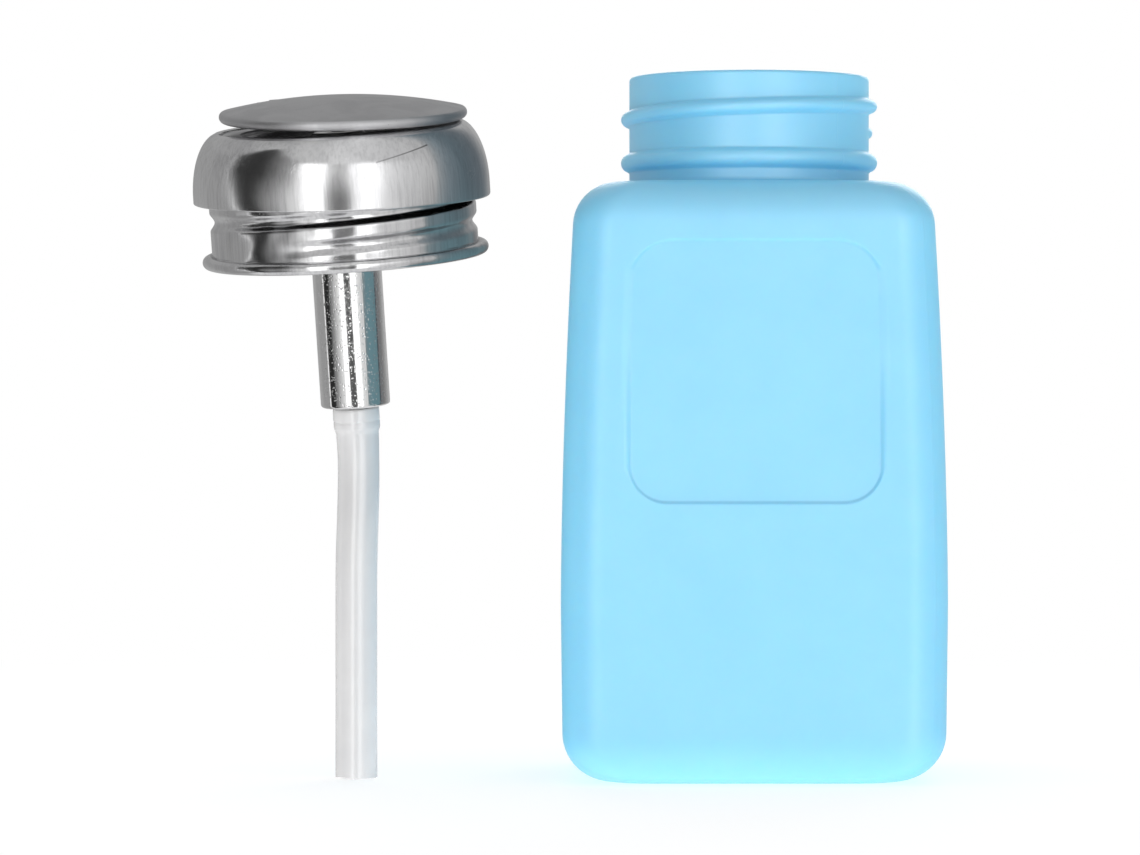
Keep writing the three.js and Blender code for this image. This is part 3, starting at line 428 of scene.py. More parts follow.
def make_painted_reflection_card():
    """Keeps the bottle's bright side out of the metal, which mirrors a painted reflection in dull blue-grey
    instead.
    """
    material, tree = material_tree("flag")
    xyz = tree.split(tree.place())
    deep = tree.clamped(xyz["Y"], REFLECTION_CARD.front, REFLECTION_CARD.back)
    high = tree.clamped(xyz["Z"], *REFLECTION_CARD_SPLIT, smooth=True)
    color = tree.mix(high, tree.ramp(deep, PAINTED_REFLECTION_LOW), tree.ramp(deep, PAINTED_REFLECTION_HIGH))
    to_the_head = tree.add("ShaderNodeNewGeometry")["Backfacing"]
    foot = tree.math("MULTIPLY", tree.clamped(xyz["Z"], *PALE_REFLECTION_FOOT, 1.0, 0.0, smooth=True), to_the_head)
    # The card glows in the painted reflection's colours, with a pale painted reflection at its foot on the
    # head's side.
    tree.surface(tree.glow(tree.mix(foot, color, PAINTED_PALE_REFLECTION)))
    x = BOTTLE_AXIS.x - BOTTLE.width / 2 + REFLECTION_CARD.left
    corners = [(x, REFLECTION_CARD.front, 0), (x, REFLECTION_CARD.back, 0), (x, REFLECTION_CARD.back, REFLECTION_CARD.top), (x, REFLECTION_CARD.front, REFLECTION_CARD.top)]
    flag = add_card("flag", corners, material)
    flag.visible_camera = flag.visible_diffuse = flag.visible_transmission = flag.visible_shadow = False


# (name, place, width, height, watts), and the place that both point at
SOFT_BOXES = (
    ("soft_panel_front", (0.18, -1.15, 0.35), 1.7, 1.3, 4.0),
    ("soft_box_back", (0.1, 1.0, 0.45), 0.9, 0.5, 3.5),
)
LIT_PLACE = Vector((0, 0, 50 * MM))


def make_soft_boxes():
    """Lamps for the matt pieces and the floor; the metal is lit by what it mirrors."""
    matt = ["floor"]
    for finish, names in FINISHED_PIECES.items():
        if "steel" not in finish:
            matt += names
    lit = bpy.data.collections.new("matt_pieces")
    for name in matt:
        lit.objects.link(bpy.data.objects[name])
    for name, place, width, height, watts in SOFT_BOXES:
        data = bpy.data.lights.new(name, "AREA")
        data.shape = "RECTANGLE"
        data.size, data.size_y = width, height
        data.energy = watts
        light = add_object(name, data)
        light.location = place
        light.rotation_euler = (LIT_PLACE - light.location).to_track_quat("-Z", "Y").to_euler()
        light.light_linking.receiver_collection = lit


# Meshes


def polar(radius, angle, height):
    return Vector((radius * cos(angle), radius * sin(angle), height))


def full_turn(count):
    """Angles of that many even steps round a circle."""
    return [2 * pi * i / count for i in range(count)]


def steps_between(start, end, step):
    """Even steps of about that size, from the start up to the last before the end."""
    count = max(1, round(abs(end - start) / step))
    return [start + (end - start) * i / count for i in range(count)]


def smooth(value):
    value = min(1.0, max(0.0, value))
    return value * value * (3 - 2 * value)


def arc(centre, radius, start, end, steps):
    """Points of an arc in degrees, about a (x, y) centre."""
    angles = [radians(start + (end - start) * i / steps) for i in range(steps + 1)]
    return [(centre[0] + radius * cos(a), centre[1] + radius * sin(a)) for a in angles]


def rounded(outline, radius, steps=4):
    """A closed outline of (x, y) or (x, y, radius) points, with its corners off the axis made round."""
    result = []
    for i, point in enumerate(outline):
        at = Vector(point[:2])
        if at.x == 0:
            result.append(tuple(at))
            continue
        reach = point[2] if len(point) > 2 else radius
        before = Vector(outline[i - 1][:2]) - at
        after = Vector(outline[(i + 1) % len(outline)][:2]) - at
        cut = min(reach, before.length * 0.45, after.length * 0.45)
        start, end = at + before.normalized() * cut, at + after.normalized() * cut
        for step in range(steps + 1):
            t = step / steps
            result.append(tuple(start * (1 - t) ** 2 + at * 2 * t * (1 - t) + end * t * t))
    return result


def sheet(path, thickness):
    """A closed outline of even thickness, laid to the left of a path of (x, y) points."""
    side = []
    for i, (x, y) in enumerate(path):
        normal = Vector((0, 0))
        used = 0
        for k in (i - 1, i):
            if 0 <= k < len(path) - 1:
                run = (Vector(path[k + 1]) - Vector(path[k])).normalized()
                normal += Vector((-run.y, run.x))
                used += 1
        reach = thickness * used / max(normal.length_squared, 0.5)
        side.append((x + normal.x * reach, y + normal.y * reach))
    return list(path) + side[::-1]


def skin(rings, closed):
    """Points and faces of a skin over rings that have as many points; a ring of one point is a tip."""
    count = max(len(ring) for ring in rings)
    points, starts, faces = [], [], []
    for ring in rings:
        starts.append(len(points))
        points.extend(ring)
    for i in range(0 if closed else 1, len(rings)):
        low, high = starts[i - 1], starts[i]
        for j in range(count):
            k = (j + 1) % count
            if len(rings[i - 1]) == 1:
                faces.append((low, high + k, high + j))
            elif len(rings[i]) == 1:
                faces.append((low + j, low + k, high))
            else:
                faces.append((low + j, low + k, high + k, high + j))
    return points, faces


def volume_inside(points, faces):
    """Above zero where the faces of a closed skin point outwards."""
    total = 0.0
    for face in faces:
        a = points[face[0]]
        for b, c in zip(face[1:-1], face[2:]):
            total += a.dot(points[b].cross(points[c]))
    return total


def make_piece(name, rings, body, node, closed=False):
    """A smooth skin over rings of points, which rides on a body and replaces a CAD piece."""
    points, faces = skin(rings, closed)
    if volume_inside(points, faces) < 0:
        faces = [face[::-1] for face in faces]
    mesh = bpy.data.meshes.new(name)
    mesh.from_pydata([tuple(point) for point in points], [], faces)
    mesh.validate()
    mesh.shade_smooth()
    piece = add_object(name, mesh)
    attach(piece, body)
    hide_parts(node)
    return piece


def as_drawn(angle, radius, height):
    return radius, height


def turned(name, outline, matrix, body, node, segments=160, shape=as_drawn):
    """A piece turned about Z of a matrix from a closed outline of (radius, height) points. shape takes an
    angle, a radius and a height, and gives the radius and height there."""
    rings = []
    for radius, height in outline:
        if radius == 0:
            rings.append([matrix @ Vector((0, 0, height))])
            continue
        ring = []
        for angle in full_turn(segments):
            r, z = shape(angle, radius, height)
            ring.append(matrix @ polar(r, angle, z))
        rings.append(ring)
    make_piece(name, rings, body, node, closed=outline[0][0] != 0)


# Bottle


def bottle_half(height):
    """Half the bottle's width at a height."""
    if height < BOTTLE.wide_height:
        drop = (BOTTLE.wide_height - height) / BOTTLE.wide_height
        return (BOTTLE.width - (BOTTLE.width - BOTTLE.foot_width) * drop) / 2
    rise = min(1.0, (height - BOTTLE.wide_height) / (SHOULDER_HEIGHT - BOTTLE.wide_height))
    return (BOTTLE.width - (BOTTLE.width - BOTTLE.shoulder_width) * rise**TAPER_POWER) / 2


def section_directions():
    """Angles round the bottle, from the middle of the right side: close together at the corners, at the
    ends of the panel and at the mould's seam. The stretches are (start, end, step) from a side's middle."""
    half = BOTTLE.width / 2
    corner = degrees(atan2(half - CORNER_RADIUS, half))
    inner = degrees(atan2(PANEL.width / 2 - PANEL.upper_radius, half))
    outer = degrees(atan2(PANEL.width / 2 + PANEL.edge, half))
    plain_side = [(-corner, corner, 2.0)]
    front_side = [
        (-corner, -outer, 1.2), (-outer, -inner, 0.36), (-inner, inner, 1.6), (inner, outer, 0.36),
        (outer, corner, 1.2),
    ]
    angles = []
    for middle in (90, 180, 270, 360):
        stretches = [(corner - 90, -corner, 0.8)] + (front_side if middle == 270 else plain_side)
        for start, end, step in stretches:
            angles += [middle + a for a in steps_between(start, end, step)]
    seam = degrees(SEAM_ANGLE) % 360
    for middle in (seam, (seam + 180) % 360):
        angles = [a for a in angles if abs(a % 360 - middle) > 0.8]
        angles += [middle + offset for offset in (-0.75, -0.5, -0.3, -0.1, 0.1, 0.3, 0.5, 0.75)]
    return [radians(a) for a in sorted(a % 360 for a in angles)]


def square_reach(angle, half, corner):
    """How far a square with round corners reaches at an angle."""
    x, y = abs(cos(angle)), abs(sin(angle))
    centre = half - corner
    flat = half / max(x, y)
    if flat * min(x, y) <= centre:
        return flat
    along = centre * (x + y)
    return along + sqrt(along * along - 2 * centre * centre + corner * corner)


def seam_rise(angle, share):
    """The mould's parting line: a fine ridge, with the skin past it a touch lower."""
    off = degrees(remainder(angle - SEAM_ANGLE, pi))
    rise = exp(-((off / SEAM_WIDTH) ** 2)) * SEAM_PROUD
    if off > -1:
        start, end = SEAM_STEP_FADE
        rise -= SEAM_STEP * smooth(off / SEAM_STEP_WIDTH + 0.5) * smooth((end - off) / (end - start))
    return share * rise


def panel_dent(x, z):
    """How far the front face is sunk at a place, for the label panel."""
    middle = PANEL.foot + PANEL.height / 2
    radius = PANEL.upper_radius if z > middle else PANEL.lower_radius
    dx = abs(x) - (PANEL.width / 2 - radius)
    dz = abs(z - middle) - (PANEL.height / 2 - radius)
    outside = hypot(max(dx, 0), max(dz, 0)) + min(max(dx, dz), 0) - radius
    return PANEL.depth * smooth(0.5 - outside / PANEL.edge)


def body_heights():
    """Heights up the side of the bottle between its base and shoulder curves, close at the panel's ends."""
    panel_top = PANEL.foot + PANEL.height
    top = SHOULDER_HEIGHT - SHOULDER_RADIUS
    stops = (
        (BASE_RADIUS, 2.5 * MM), (PANEL.foot - PANEL.edge, PANEL.step),
        (PANEL.foot + PANEL.lower_radius, 1.5 * MM), (panel_top - PANEL.upper_radius, PANEL.step),
        (panel_top + PANEL.edge, 1.0 * MM), (top, 0),
    )
    heights = []
    for (start, step), (end, _) in zip(stops, stops[1:]):
        heights += steps_between(start, end, step)
    return heights + [top]


def body_profile(inset, curve_steps, skip):
    """(half width, height) pairs up the body, from the flat of the base to the flat of the shoulder. Of the
    heights between the curves it takes one in every skip."""
    base, shoulder = BASE_RADIUS - inset, SHOULDER_RADIUS - inset
    pairs = []
    for i in range(curve_steps):
        angle = pi / 2 * i / curve_steps
        height = inset + base * (1 - cos(angle))
        pairs.append((bottle_half(height) - inset - base * (1 - sin(angle)), height))
    pairs += [(bottle_half(height) - inset, height) for height in body_heights()[::skip]]
    for i in range(1, curve_steps + 1):
        angle = pi / 2 * i / curve_steps
        height = SHOULDER_HEIGHT - SHOULDER_RADIUS + shoulder * sin(angle)
        pairs.append((bottle_half(height) - inset - shoulder * (1 - cos(angle)), height))
    return pairs


def thread_passes(angle, start_angle, turns, start_height, fade):
    """Where the thread passes an angle, as (height of its middle, how full it is), between its run-outs."""
    length = turns * 2 * pi
    for turn in range(-1, 3):
        along = angle - start_angle + turn * 2 * pi
        if 0 < along < length:
            full = smooth(min(along, length - along) / fade)
            yield start_height + THREAD.pitch * along / (2 * pi), full


def bead(off, width):
    """Section of a round bead with a small fillet at each root, from 0 to 1."""
    u = abs(off) / (width / 2)
    if u > 1.25:
        return 0.0
    return max(sqrt(max(0.0, 1 - (u / 1.04) ** 2)), 0.45 * smooth((1.25 - u) / 0.45) if u > 0.8 else 0.0)


def thread_rise(angle, height):
    """How proud the thread stands on the neck."""
    start = LIP_HEIGHT - THREAD.start_depth
    rise = 0.0
    for middle, full in thread_passes(angle, THREAD_START_ANGLE, THREAD_TURNS, start, THREAD_FADE):
        rise = max(rise, bead(height - middle, THREAD.height * (0.5 + 0.5 * full)) * THREAD.proud * full)
    return rise


def neck_ring(directions, height):
    """A ring of the neck's outside, with its foot fillet, thread, transfer ring and seam."""
    seam_share = min(1.0, max(0.0, (LIP_HEIGHT - LIP_RADIUS - height) / LIP_RADIUS))
    fillet = max(0.0, 1 - (height - SHOULDER_HEIGHT) / NECK.fillet)
    foot = NECK.fillet * (1 - sqrt(max(0.0, 1 - fillet * fillet)))
    ring_rise = bead(height - (LIP_HEIGHT - RING_DEPTH), RING_HEIGHT) * THREAD.proud
    ring = []
    for angle in directions:
        proud = max(ring_rise, thread_rise(angle, height)) + seam_rise(angle, seam_share)
        ring.append(polar(NECK.radius + foot + proud, angle, height))
    return ring


def square_ring(directions, half, height, corner=CORNER_RADIUS, outside=False):
    """A ring of the square body; outside adds the seam and the label panel."""
    ring = []
    for angle in directions:
        reach = square_reach(angle, half, min(corner, half))
        if outside:
            reach += seam_rise(angle, SEAM_BODY_SHARE)
        point = polar(reach, angle, height)
        if outside and point.y < 0 and abs(point.x) < half - CORNER_RADIUS / 2:
            point.y += panel_dent(point.x, height)
        ring.append(point)
    return ring


def make_bottle():
    """One closed skin: the push-up base, the outside, the lip, and back down inside to the base."""
    directions = section_directions()
    hollow = bottle_half(0) - BASE_RADIUS - STANDING_RING
    push_up = (
        (hollow * 0.5, PUSH_UP), (hollow - PUSH_UP, PUSH_UP), (hollow - PUSH_UP * 0.6, PUSH_UP * 0.9),
        (hollow - PUSH_UP * 0.25, PUSH_UP * 0.45), (hollow, 0.0),
    )
    rings = [[Vector((0, 0, PUSH_UP))]]
    rings += [square_ring(directions, *spot) for spot in push_up]
    rings += [square_ring(directions, *spot, outside=True) for spot in body_profile(0.0, 14, 1)]
    shoulder = (bottle_half(SHOULDER_HEIGHT) - SHOULDER_RADIUS + NECK.radius + NECK.fillet) / 2
    rings.append(square_ring(directions, shoulder, SHOULDER_HEIGHT, NECK.radius))
    neck_heights = [SHOULDER_HEIGHT + NECK.fillet * share for share in (0, 0.08, 0.2, 0.4, 0.7)]
    neck_heights += steps_between(SHOULDER_HEIGHT + NECK.fillet, LIP_HEIGHT - LIP_RADIUS, NECK.step)
    rings += [neck_ring(directions, height) for height in neck_heights]
    mouth = arc((NECK.radius - LIP_RADIUS, LIP_HEIGHT - LIP_RADIUS), LIP_RADIUS, 0, 90, 6)
    mouth += arc((NECK.bore + LIP_RADIUS, LIP_HEIGHT - LIP_RADIUS), LIP_RADIUS, 90, 180, 6)
    mouth += [(NECK.bore, z) for z in steps_between(LIP_HEIGHT - 2 * LIP_RADIUS, SHOULDER_HEIGHT, 3 * MM)]
    mouth.append((NECK.bore, SHOULDER_HEIGHT - BOTTLE.wall))
    rings += [[polar(radius, angle, height) for angle in directions] for radius, height in mouth]
    for half, height in reversed(body_profile(BOTTLE.wall, 6, 12)):
        rings.append(square_ring(directions, half, height, CORNER_RADIUS - BOTTLE.wall / 2))
    rings.append(square_ring(directions, hollow, PUSH_UP + BOTTLE.wall))
    rings.append([Vector((0, 0, PUSH_UP + BOTTLE.wall))])
    rings = [[point + BOTTLE_AXIS for point in ring] for ring in rings]
    make_piece("bottle_body", rings, "bottle", "bottle")


# Pump head


def groove(angle, height):
    """How deep the rolled thread is sunk in the shell."""
    deepest = 0.0
    for middle, full in thread_passes(angle, GROOVE_ANGLE, GROOVE_TURNS, GROOVE.start, GROOVE_FADE):
        off = abs(height - middle) / (GROOVE.width / 2)
        if off < 1:
            deepest = max(deepest, full * cos(off * pi / 2) ** GROOVE_POWER)
    return deepest * GROOVE.depth


def make_threaded_shell():
    bore = SHELL.radius - SHELL.sheet
    groove_top = GROOVE.start + GROOVE_TURNS * THREAD.pitch + GROOVE.width / 2
    corner = (SHELL.radius - SHELL.top_radius, SHELL.plate - SHELL.top_radius)
    levels = steps_between(CURL_RADIUS * 0.9, groove_top, SHELL.step) + [groove_top, corner[1]]
    outline = [(SHELL.radius, z) for z in levels]
    outline += arc(corner, SHELL.top_radius, 0, 90, 8)[1:]
    outline += [(SHELL.hole, SHELL.plate), (SHELL.hole, SHELL.plate - SHELL.sheet)]
    outline += arc(corner, SHELL.top_radius - SHELL.sheet, 90, 0, 6)
    outline += [(bore, z) for z in reversed(levels[:-1])]
    outline += arc((SHELL.radius + CURL_RADIUS - SHELL.sheet, 0), CURL_RADIUS, 180, 458, 26)
    outline.append((SHELL.radius + 0.12 * MM, CURL_RADIUS * 0.62))

    def rolled(angle, radius, height):
        on_wall = min(abs(radius - SHELL.radius), abs(radius - bore)) < 0.01 * MM
        return (radius - groove(angle, height) if on_wall else radius), height

    node = "threaded_shell"
    turned("threaded_shell_sheet", outline, HEAD, "pump_head", node, 288, rolled)


def make_dome_collar():
    waist = DOME.foot + DOME.straight
    path = [(DOME.radius - DOME.hem, DOME.foot)]
    path += arc((DOME.radius - DOME.hem_radius, DOME.foot + DOME.hem_radius), DOME.hem_radius, -90, 0, 5)
    for i in range(DOME_STEPS - DOME_STEPS_IN_LIP):
        angle = pi / 2 * i / DOME_STEPS
        radius = DOME.opening + (DOME.radius - DOME.opening) * cos(angle)
        path.append((radius, waist + DOME.shoulder * sin(angle)))
    lip = (DOME.opening + DOME.lip_radius, waist + DOME.shoulder - DOME.lip_radius)
    path += arc(lip, DOME.lip_radius, 70, 180, 7)
    path += [(DOME.opening, DOME.seat + 0.3 * MM), (DOME.opening - 0.3 * MM, DOME.seat)]
    path.append((DOME.opening - DOME.seat_width, DOME.seat))
    outline = sheet(path, DOME.sheet)

    def askew(angle, radius, height):
        low = min(1.0, max(0.0, (waist - height) / DOME.straight))
        return radius, height - DOME.hem_skew * low * cos(angle)

    turned("dome_collar_spun", outline, HEAD, "pump_head", "dome_collar", 240, askew)


def make_well_cup():
    lip, curve = WELL.lip_radius, WELL.floor_radius
    path = [(WELL.flange, DOME.seat + SEAT_GAP)]
    path += arc((WELL.flange - lip, WELL.top - lip), lip, 0, 90, 4)
    path += arc((WELL.bore + lip, WELL.top - lip), lip, 90, 180, 4)
    path += arc((WELL.bore - curve, WELL.floor + curve), curve, 0, -90, 4)
    path.append((CYLINDER.radius + SEAT_GAP, WELL.floor))
    turned("well_cup_drawn", sheet(path, WELL.sheet), HEAD, "pump_head", "well_cup")


def make_press_dish():
    path = [(DISH.radius, DISH.top - DISH.skirt)]
    path += arc((DISH.radius - DISH.corner, DISH.top - DISH.corner), DISH.corner, 0, 90, 5)
    inner = DISH.radius - DISH.rim
    for i in range(1, DISH_STEPS + 1):
        share = i / DISH_STEPS
        sunk = DISH.depth * (1 - (1 - share) ** 2)
        path.append((inner + (DISH.hole - inner) * share, DISH.top - sunk * smooth(share * 6)))
    turned("press_dish_spun", sheet(path, DISH.sheet), HEAD, "plunger", "press_dish")


def make_dish_nozzle():
    under = NOZZLE.top - NOZZLE.roof
    outline = rounded([
        (DISH.hole, NOZZLE.foot), (NOZZLE.radius, NOZZLE.foot), (NOZZLE.radius, under, 0.4 * MM),
        (NOZZLE.radius - NOZZLE.roof, NOZZLE.top, 0.4 * MM), (NOZZLE.hole, NOZZLE.top, 0.25 * MM),
        (NOZZLE.hole, under), (DISH.hole, under),
    ], 0.08 * MM)
    turned("dish_nozzle_button", outline, HEAD, "plunger", "dish_nozzle", 96)


def make_cylinder():
    flange_foot = CYLINDER.top - CYLINDER.flange_height
    inside_foot = CYLINDER.foot + CYLINDER.lip
    outline = rounded([
        (CYLINDER.bore, CYLINDER.top), (CYLINDER.flange, CYLINDER.top), (CYLINDER.flange, flange_foot),
        (CYLINDER.radius, flange_foot), (CYLINDER.radius, CYLINDER.foot, CYLINDER.foot_edge),
        (CYLINDER.foot_hole, CYLINDER.foot), (CYLINDER.foot_hole, inside_foot), (CYLINDER.bore, inside_foot),
    ], 0.12 * MM)
    turned("cylinder_barrel", outline, HEAD, "pump_head", "cylinder", 128)


def make_lid():
    """A crowned disc with a rolled edge; the crown starts at a crease on the roll."""
    half = LID.edge / 2
    centre = (LID.radius - half, 0)
    crease = (centre[0] + half * cos(LID_CREASE), half * sin(LID_CREASE))

    def crown(radius):
        return crease[1] + (LID.crown - crease[1]) * (1 - (radius / crease[0]) ** 2)

    outside = [crease[0] * i / CROWN_STEPS for i in range(CROWN_STEPS, -1, -1)]
    inner = LID.radius - LID.curl - LID.sheet
    underside = [inner * i / UNDERSIDE_STEPS for i in range(UNDERSIDE_STEPS + 1)]
    outline = [(radius, crown(radius) - LID.sheet) for radius in underside]
    outline += arc(centre, half * 0.96, 160, 200, 4) + arc(centre, half, 215, 407, 20)
    outline += [(radius, crown(radius)) for radius in outside]
    place = LID_SWING @ Matrix.Translation(Vector((-LID.radius - HINGE_REACH, -LID.slide, HINGE_DROP)))
    turned("lid_disc", outline, place, "flip_lid", "lid", 240)


def make_hinge_pin():
    radius, end = PIN.radius, PIN.length / 2
    outline = rounded([(0, -end), (radius, -end), (radius, end), (0, end)], PIN.edge)
    turned("hinge_pin_rod", outline, HINGE @ LIE_ALONG_Y, "pump_head", "hinge_pin", 32)


def make_lid_knuckle():
    """The lid's sleeve on the pin, with a short tongue that meets the lid's edge."""
    bore = PIN.radius + KNUCKLE.play
    outer, inner = [], []
    for angle in full_turn(KNUCKLE_SIDES):
        x, z = KNUCKLE.radius * cos(angle), KNUCKLE.radius * sin(angle)
        if x < 0 and abs(z - HINGE_DROP) < TONGUE_SHEET / 2:
            x = -TONGUE_REACH
        outer.append((x, z))
        inner.append((bore * cos(angle), bore * sin(angle)))
    end = KNUCKLE.length / 2
    edge = end - KNUCKLE.bevel
    sections = (
        (inner, -edge, 1), (inner, -end, 1.1), (outer, -end, 0.9), (outer, -edge, 1),
        (outer, edge, 1), (outer, end, 0.9), (inner, end, 1.1), (inner, edge, 1),
    )
    rings = []
    for loop, y, grow in sections:
        rings.append([LID_SWING @ Vector((x * grow, y - LID.slide, z * grow)) for x, z in loop])
    make_piece("lid_knuckle_sleeve", rings, "flip_lid", "lid_knuckle", closed=True)


def make_return_spring():
    """The coil spring inside the barrel, in the space of its CAD solid, with a mesh of its own."""
    into_head = HEAD.inverted()
    places = [into_head @ v.co for v in frame["nodes"]["return_spring"].data.vertices]
    heights = [place.z for place in places]
    reaches = [place.xy.length for place in places]
    wire = (max(reaches) - min(reaches)) / 2
    middle = (max(reaches) + min(reaches)) / 2
    low, high = min(heights) + wire, max(heights) - wire
    count = SPRING_TURNS * SPRING_STEPS
    rings = []
    for i in range(count + 1):
        turn = 2 * pi * i / SPRING_STEPS
        height = low + (high - low) * i / count
        section = [(middle + wire * cos(a), height + wire * sin(a)) for a in full_turn(SPRING_SIDES)]
        rings.append([HEAD @ polar(radius, turn, up) for radius, up in section])
    tips = [[sum(ring, Vector()) / len(ring)] for ring in (rings[0], rings[-1])]
    rings = [tips[0], *rings, tips[1]]
    spring = make_piece("return_spring_coil", rings, "pump_head", "return_spring")
    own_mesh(spring)


# The dip tube's swollen top, as (mm below the cylinder's foot, share of the swelling outside, and inside).
TUBE_MARKS = (
    (0, 0.55, 1), (0.15, 0.85, 1), (0.5, 1, 1), (1.95, 1, 1), (2.1, 0.86, 1), (2.2, 0.84, 1), (2.35, 0.97, 1),
    (3.1, 0.95, 1), (3.45, 0.8, 0.9), (3.6, 0.62, 0.7), (3.9, 0.42, 0.4),
)


def tube_ring(spot, along, radius):
    """A ring of the tube. Its lowest points are a little ragged, as the tube was cut by hand."""
    side = along.cross(Vector((0, 1, 0))).normalized()
    other = side.cross(along)
    ring = []
    for angle in full_turn(TUBE_SIDES):
        point = spot + side * radius * cos(angle) + other * radius * sin(angle)
        if point.z < TUBE.cut:
            ragged = (0.15 + 0.1 * sin(2 * angle + 0.6) + 0.05 * sin(5 * angle)) * MM
            point.z = max(0.0, point.z + ragged * (1 - point.z / TUBE.cut))
        ring.append(point)
    return ring


def make_dip_tube():
    """From the cylinder's foot along the head's axis, then in a bend into the vertical and to the floor."""
    lowest = [v.co for v in frame["nodes"]["dip_tube"].data.vertices if v.co.z < 0.01 * MM]
    foot = sum(lowest, Vector()) / len(lowest)
    down = Vector((0, 0, -1))
    start = HEAD @ Vector((0, 0, CYLINDER.foot - SEAT_GAP))
    a = start - HEAD_AXIS * (TUBE.swollen_length + SEAT_GAP)
    d = Vector((foot.x, foot.y, a.z - TUBE.bend))
    b, c = a - HEAD_AXIS * TUBE.bend / 3, d - down * TUBE.bend / 3
    stations = [(start - HEAD_AXIS * run * MM, -HEAD_AXIS, out, within) for run, out, within in TUBE_MARKS]
    for i in range(TUBE_BEND_STEPS + 1):
        t = i / TUBE_BEND_STEPS
        spot = a * (1 - t) ** 3 + b * 3 * t * (1 - t) ** 2 + c * 3 * t * t * (1 - t) + d * t**3
        slope = (b - a) * (1 - t) ** 2 + (c - b) * 2 * t * (1 - t) + (d - c) * t * t
        left = 1 - smooth(i / 5)
        stations.append((spot, slope.normalized(), 0.22 * left, 0.2 * left))
    straight = steps_between(d.z, 0.35 * MM, 2 * MM)[1:] + [0.35 * MM, 0.12 * MM]
    stations += [(Vector((foot.x, foot.y, z)), down, 0.0, 0.0) for z in straight]
    stations.append((Vector((foot.x, foot.y, 0)), down, -0.25, 0.1))
    outside, inside = [], []
    for spot, along, out, within in stations:
        outside.append(tube_ring(spot, along, TUBE.radius + (TUBE.swollen - TUBE.radius) * out))
        inside.append(tube_ring(spot, along, TUBE.bore + (TUBE.swollen_bore - TUBE.bore) * within))
    rings = outside + inside[::-1]
    make_piece("dip_tube_milky", rings, "pump_head", "dip_tube", closed=True)


# Effects that more than one finish uses


def moulded_grain(tree, given):
    """Skin of moulded plastic: fine orange peel and broad, slow unevenness."""
    peel = tree.noise(given["Vector"], given["Peel Scale"], 2.0)
    broad = tree.noise(given["Vector"], given["Mottle Scale"], 3.0, 0.55)
    return peel, tree.clamped(broad, 0.3, 0.7, smooth=True)


def brushing(tree, given):
    """Fine lines left along the axis by polishing, and the smears between them."""
    long_lines = tree.vector("MULTIPLY", given["Vector"], (1, 1, 0.035))
    lines = tree.noise(long_lines, given["Line Scale"], 4.0, 0.6)
    long_smears = tree.vector("MULTIPLY", given["Vector"], (1, 1, 0.3))
    smears = tree.noise(long_smears, given["Smear Scale"], 4.0, 0.6, 0.6)
    return lines, tree.clamped(smears, 0.35, 0.7, smooth=True)


def handling_marks(tree, given):
    """Hairline scratches in three directions, small pits and specks, as metal that has been used shows."""
    patch_scale = tree.math("MULTIPLY", given["Scratch Scale"], 0.35)
    scratches = 0.0
    for turn in ((0.4, 0.9, 0.2), (1.3, 0.2, 0.9), (0.7, 1.9, 2.2)):
        spin = {"Rotation": turn, "rotation_type": "EULER_XYZ"}
        spun = tree.add("ShaderNodeVectorRotate", given["Vector"], **spin)[0]
        field = tree.noise(tree.vector("MULTIPLY", spun, (1, 14, 14)), given["Scratch Scale"], 2.0, 0.5, 0.2)
        line = tree.clamped(tree.math("ABSOLUTE", tree.math("SUBTRACT", field, 0.5)), 0.0, 0.012, 1.0, 0.0)
        patch = tree.clamped(tree.noise(spun, patch_scale), 0.58, 0.66)
        scratches = tree.math("MAXIMUM", scratches, tree.math("MULTIPLY", line, patch))
    cells = tree.add("ShaderNodeTexVoronoi", Vector=given["Vector"], Scale=given["Pit Scale"])
    size = tree.add("ShaderNodeSeparateColor", cells["Color"])[0]
    reach = tree.math("MULTIPLY", tree.math("POWER", size, 3.0), given["Pit Share"])
    pits = tree.clamped(cells["Distance"], 0.0, tree.math("ADD", reach, 0.001), 1.0, 0.0)
    return scratches, pits


def shared_effect(make, outputs, **scales):
    """A node group of an effect, with a vector and these scales going in."""
    group = bpy.data.node_groups.new(make.__name__, "ShaderNodeTree")
    group.interface.new_socket("Vector", in_out="INPUT", socket_type="NodeSocketVector")
    for label, value in scales.items():
        label = label.replace("_", " ")
        socket = group.interface.new_socket(label, in_out="INPUT", socket_type="NodeSocketFloat")
        socket.default_value = value
    for label in outputs:
        group.interface.new_socket(label, in_out="OUTPUT", socket_type="NodeSocketFloat")
    tree = Tree(group)
    tree.node("NodeGroupOutput", *make(tree, tree.node("NodeGroupInput").outputs))
    return group


GROUPS = {
    "moulded_grain": shared_effect(moulded_grain, ("Peel", "Mottle"), Peel_Scale=1800, Mottle_Scale=70),
    "brushing": shared_effect(brushing, ("Lines", "Smears"), Line_Scale=2200, Smear_Scale=120),
    "handling_marks": shared_effect(
        handling_marks, ("Scratches", "Pits"), Scratch_Scale=260, Pit_Scale=2600, Pit_Share=0.35
    ),
}


# Finishes


def place_along_head(tree):
    """Object coordinates turned so that Z runs along the pump head's axis."""
    turn = {"Center": HEAD_ORIGIN, "Rotation": HEAD.to_euler(), "rotation_type": "EULER_XYZ", "invert": True}
    return tree.vector("SUBTRACT", tree.add("ShaderNodeVectorRotate", tree.place(), **turn)[0], HEAD_ORIGIN)


def round_the_head(tree):
    """The direction round the pump head's axis."""
    return tree.vector("CROSS_PRODUCT", HEAD_AXIS, tree.vector("SUBTRACT", tree.place(), HEAD_ORIGIN))


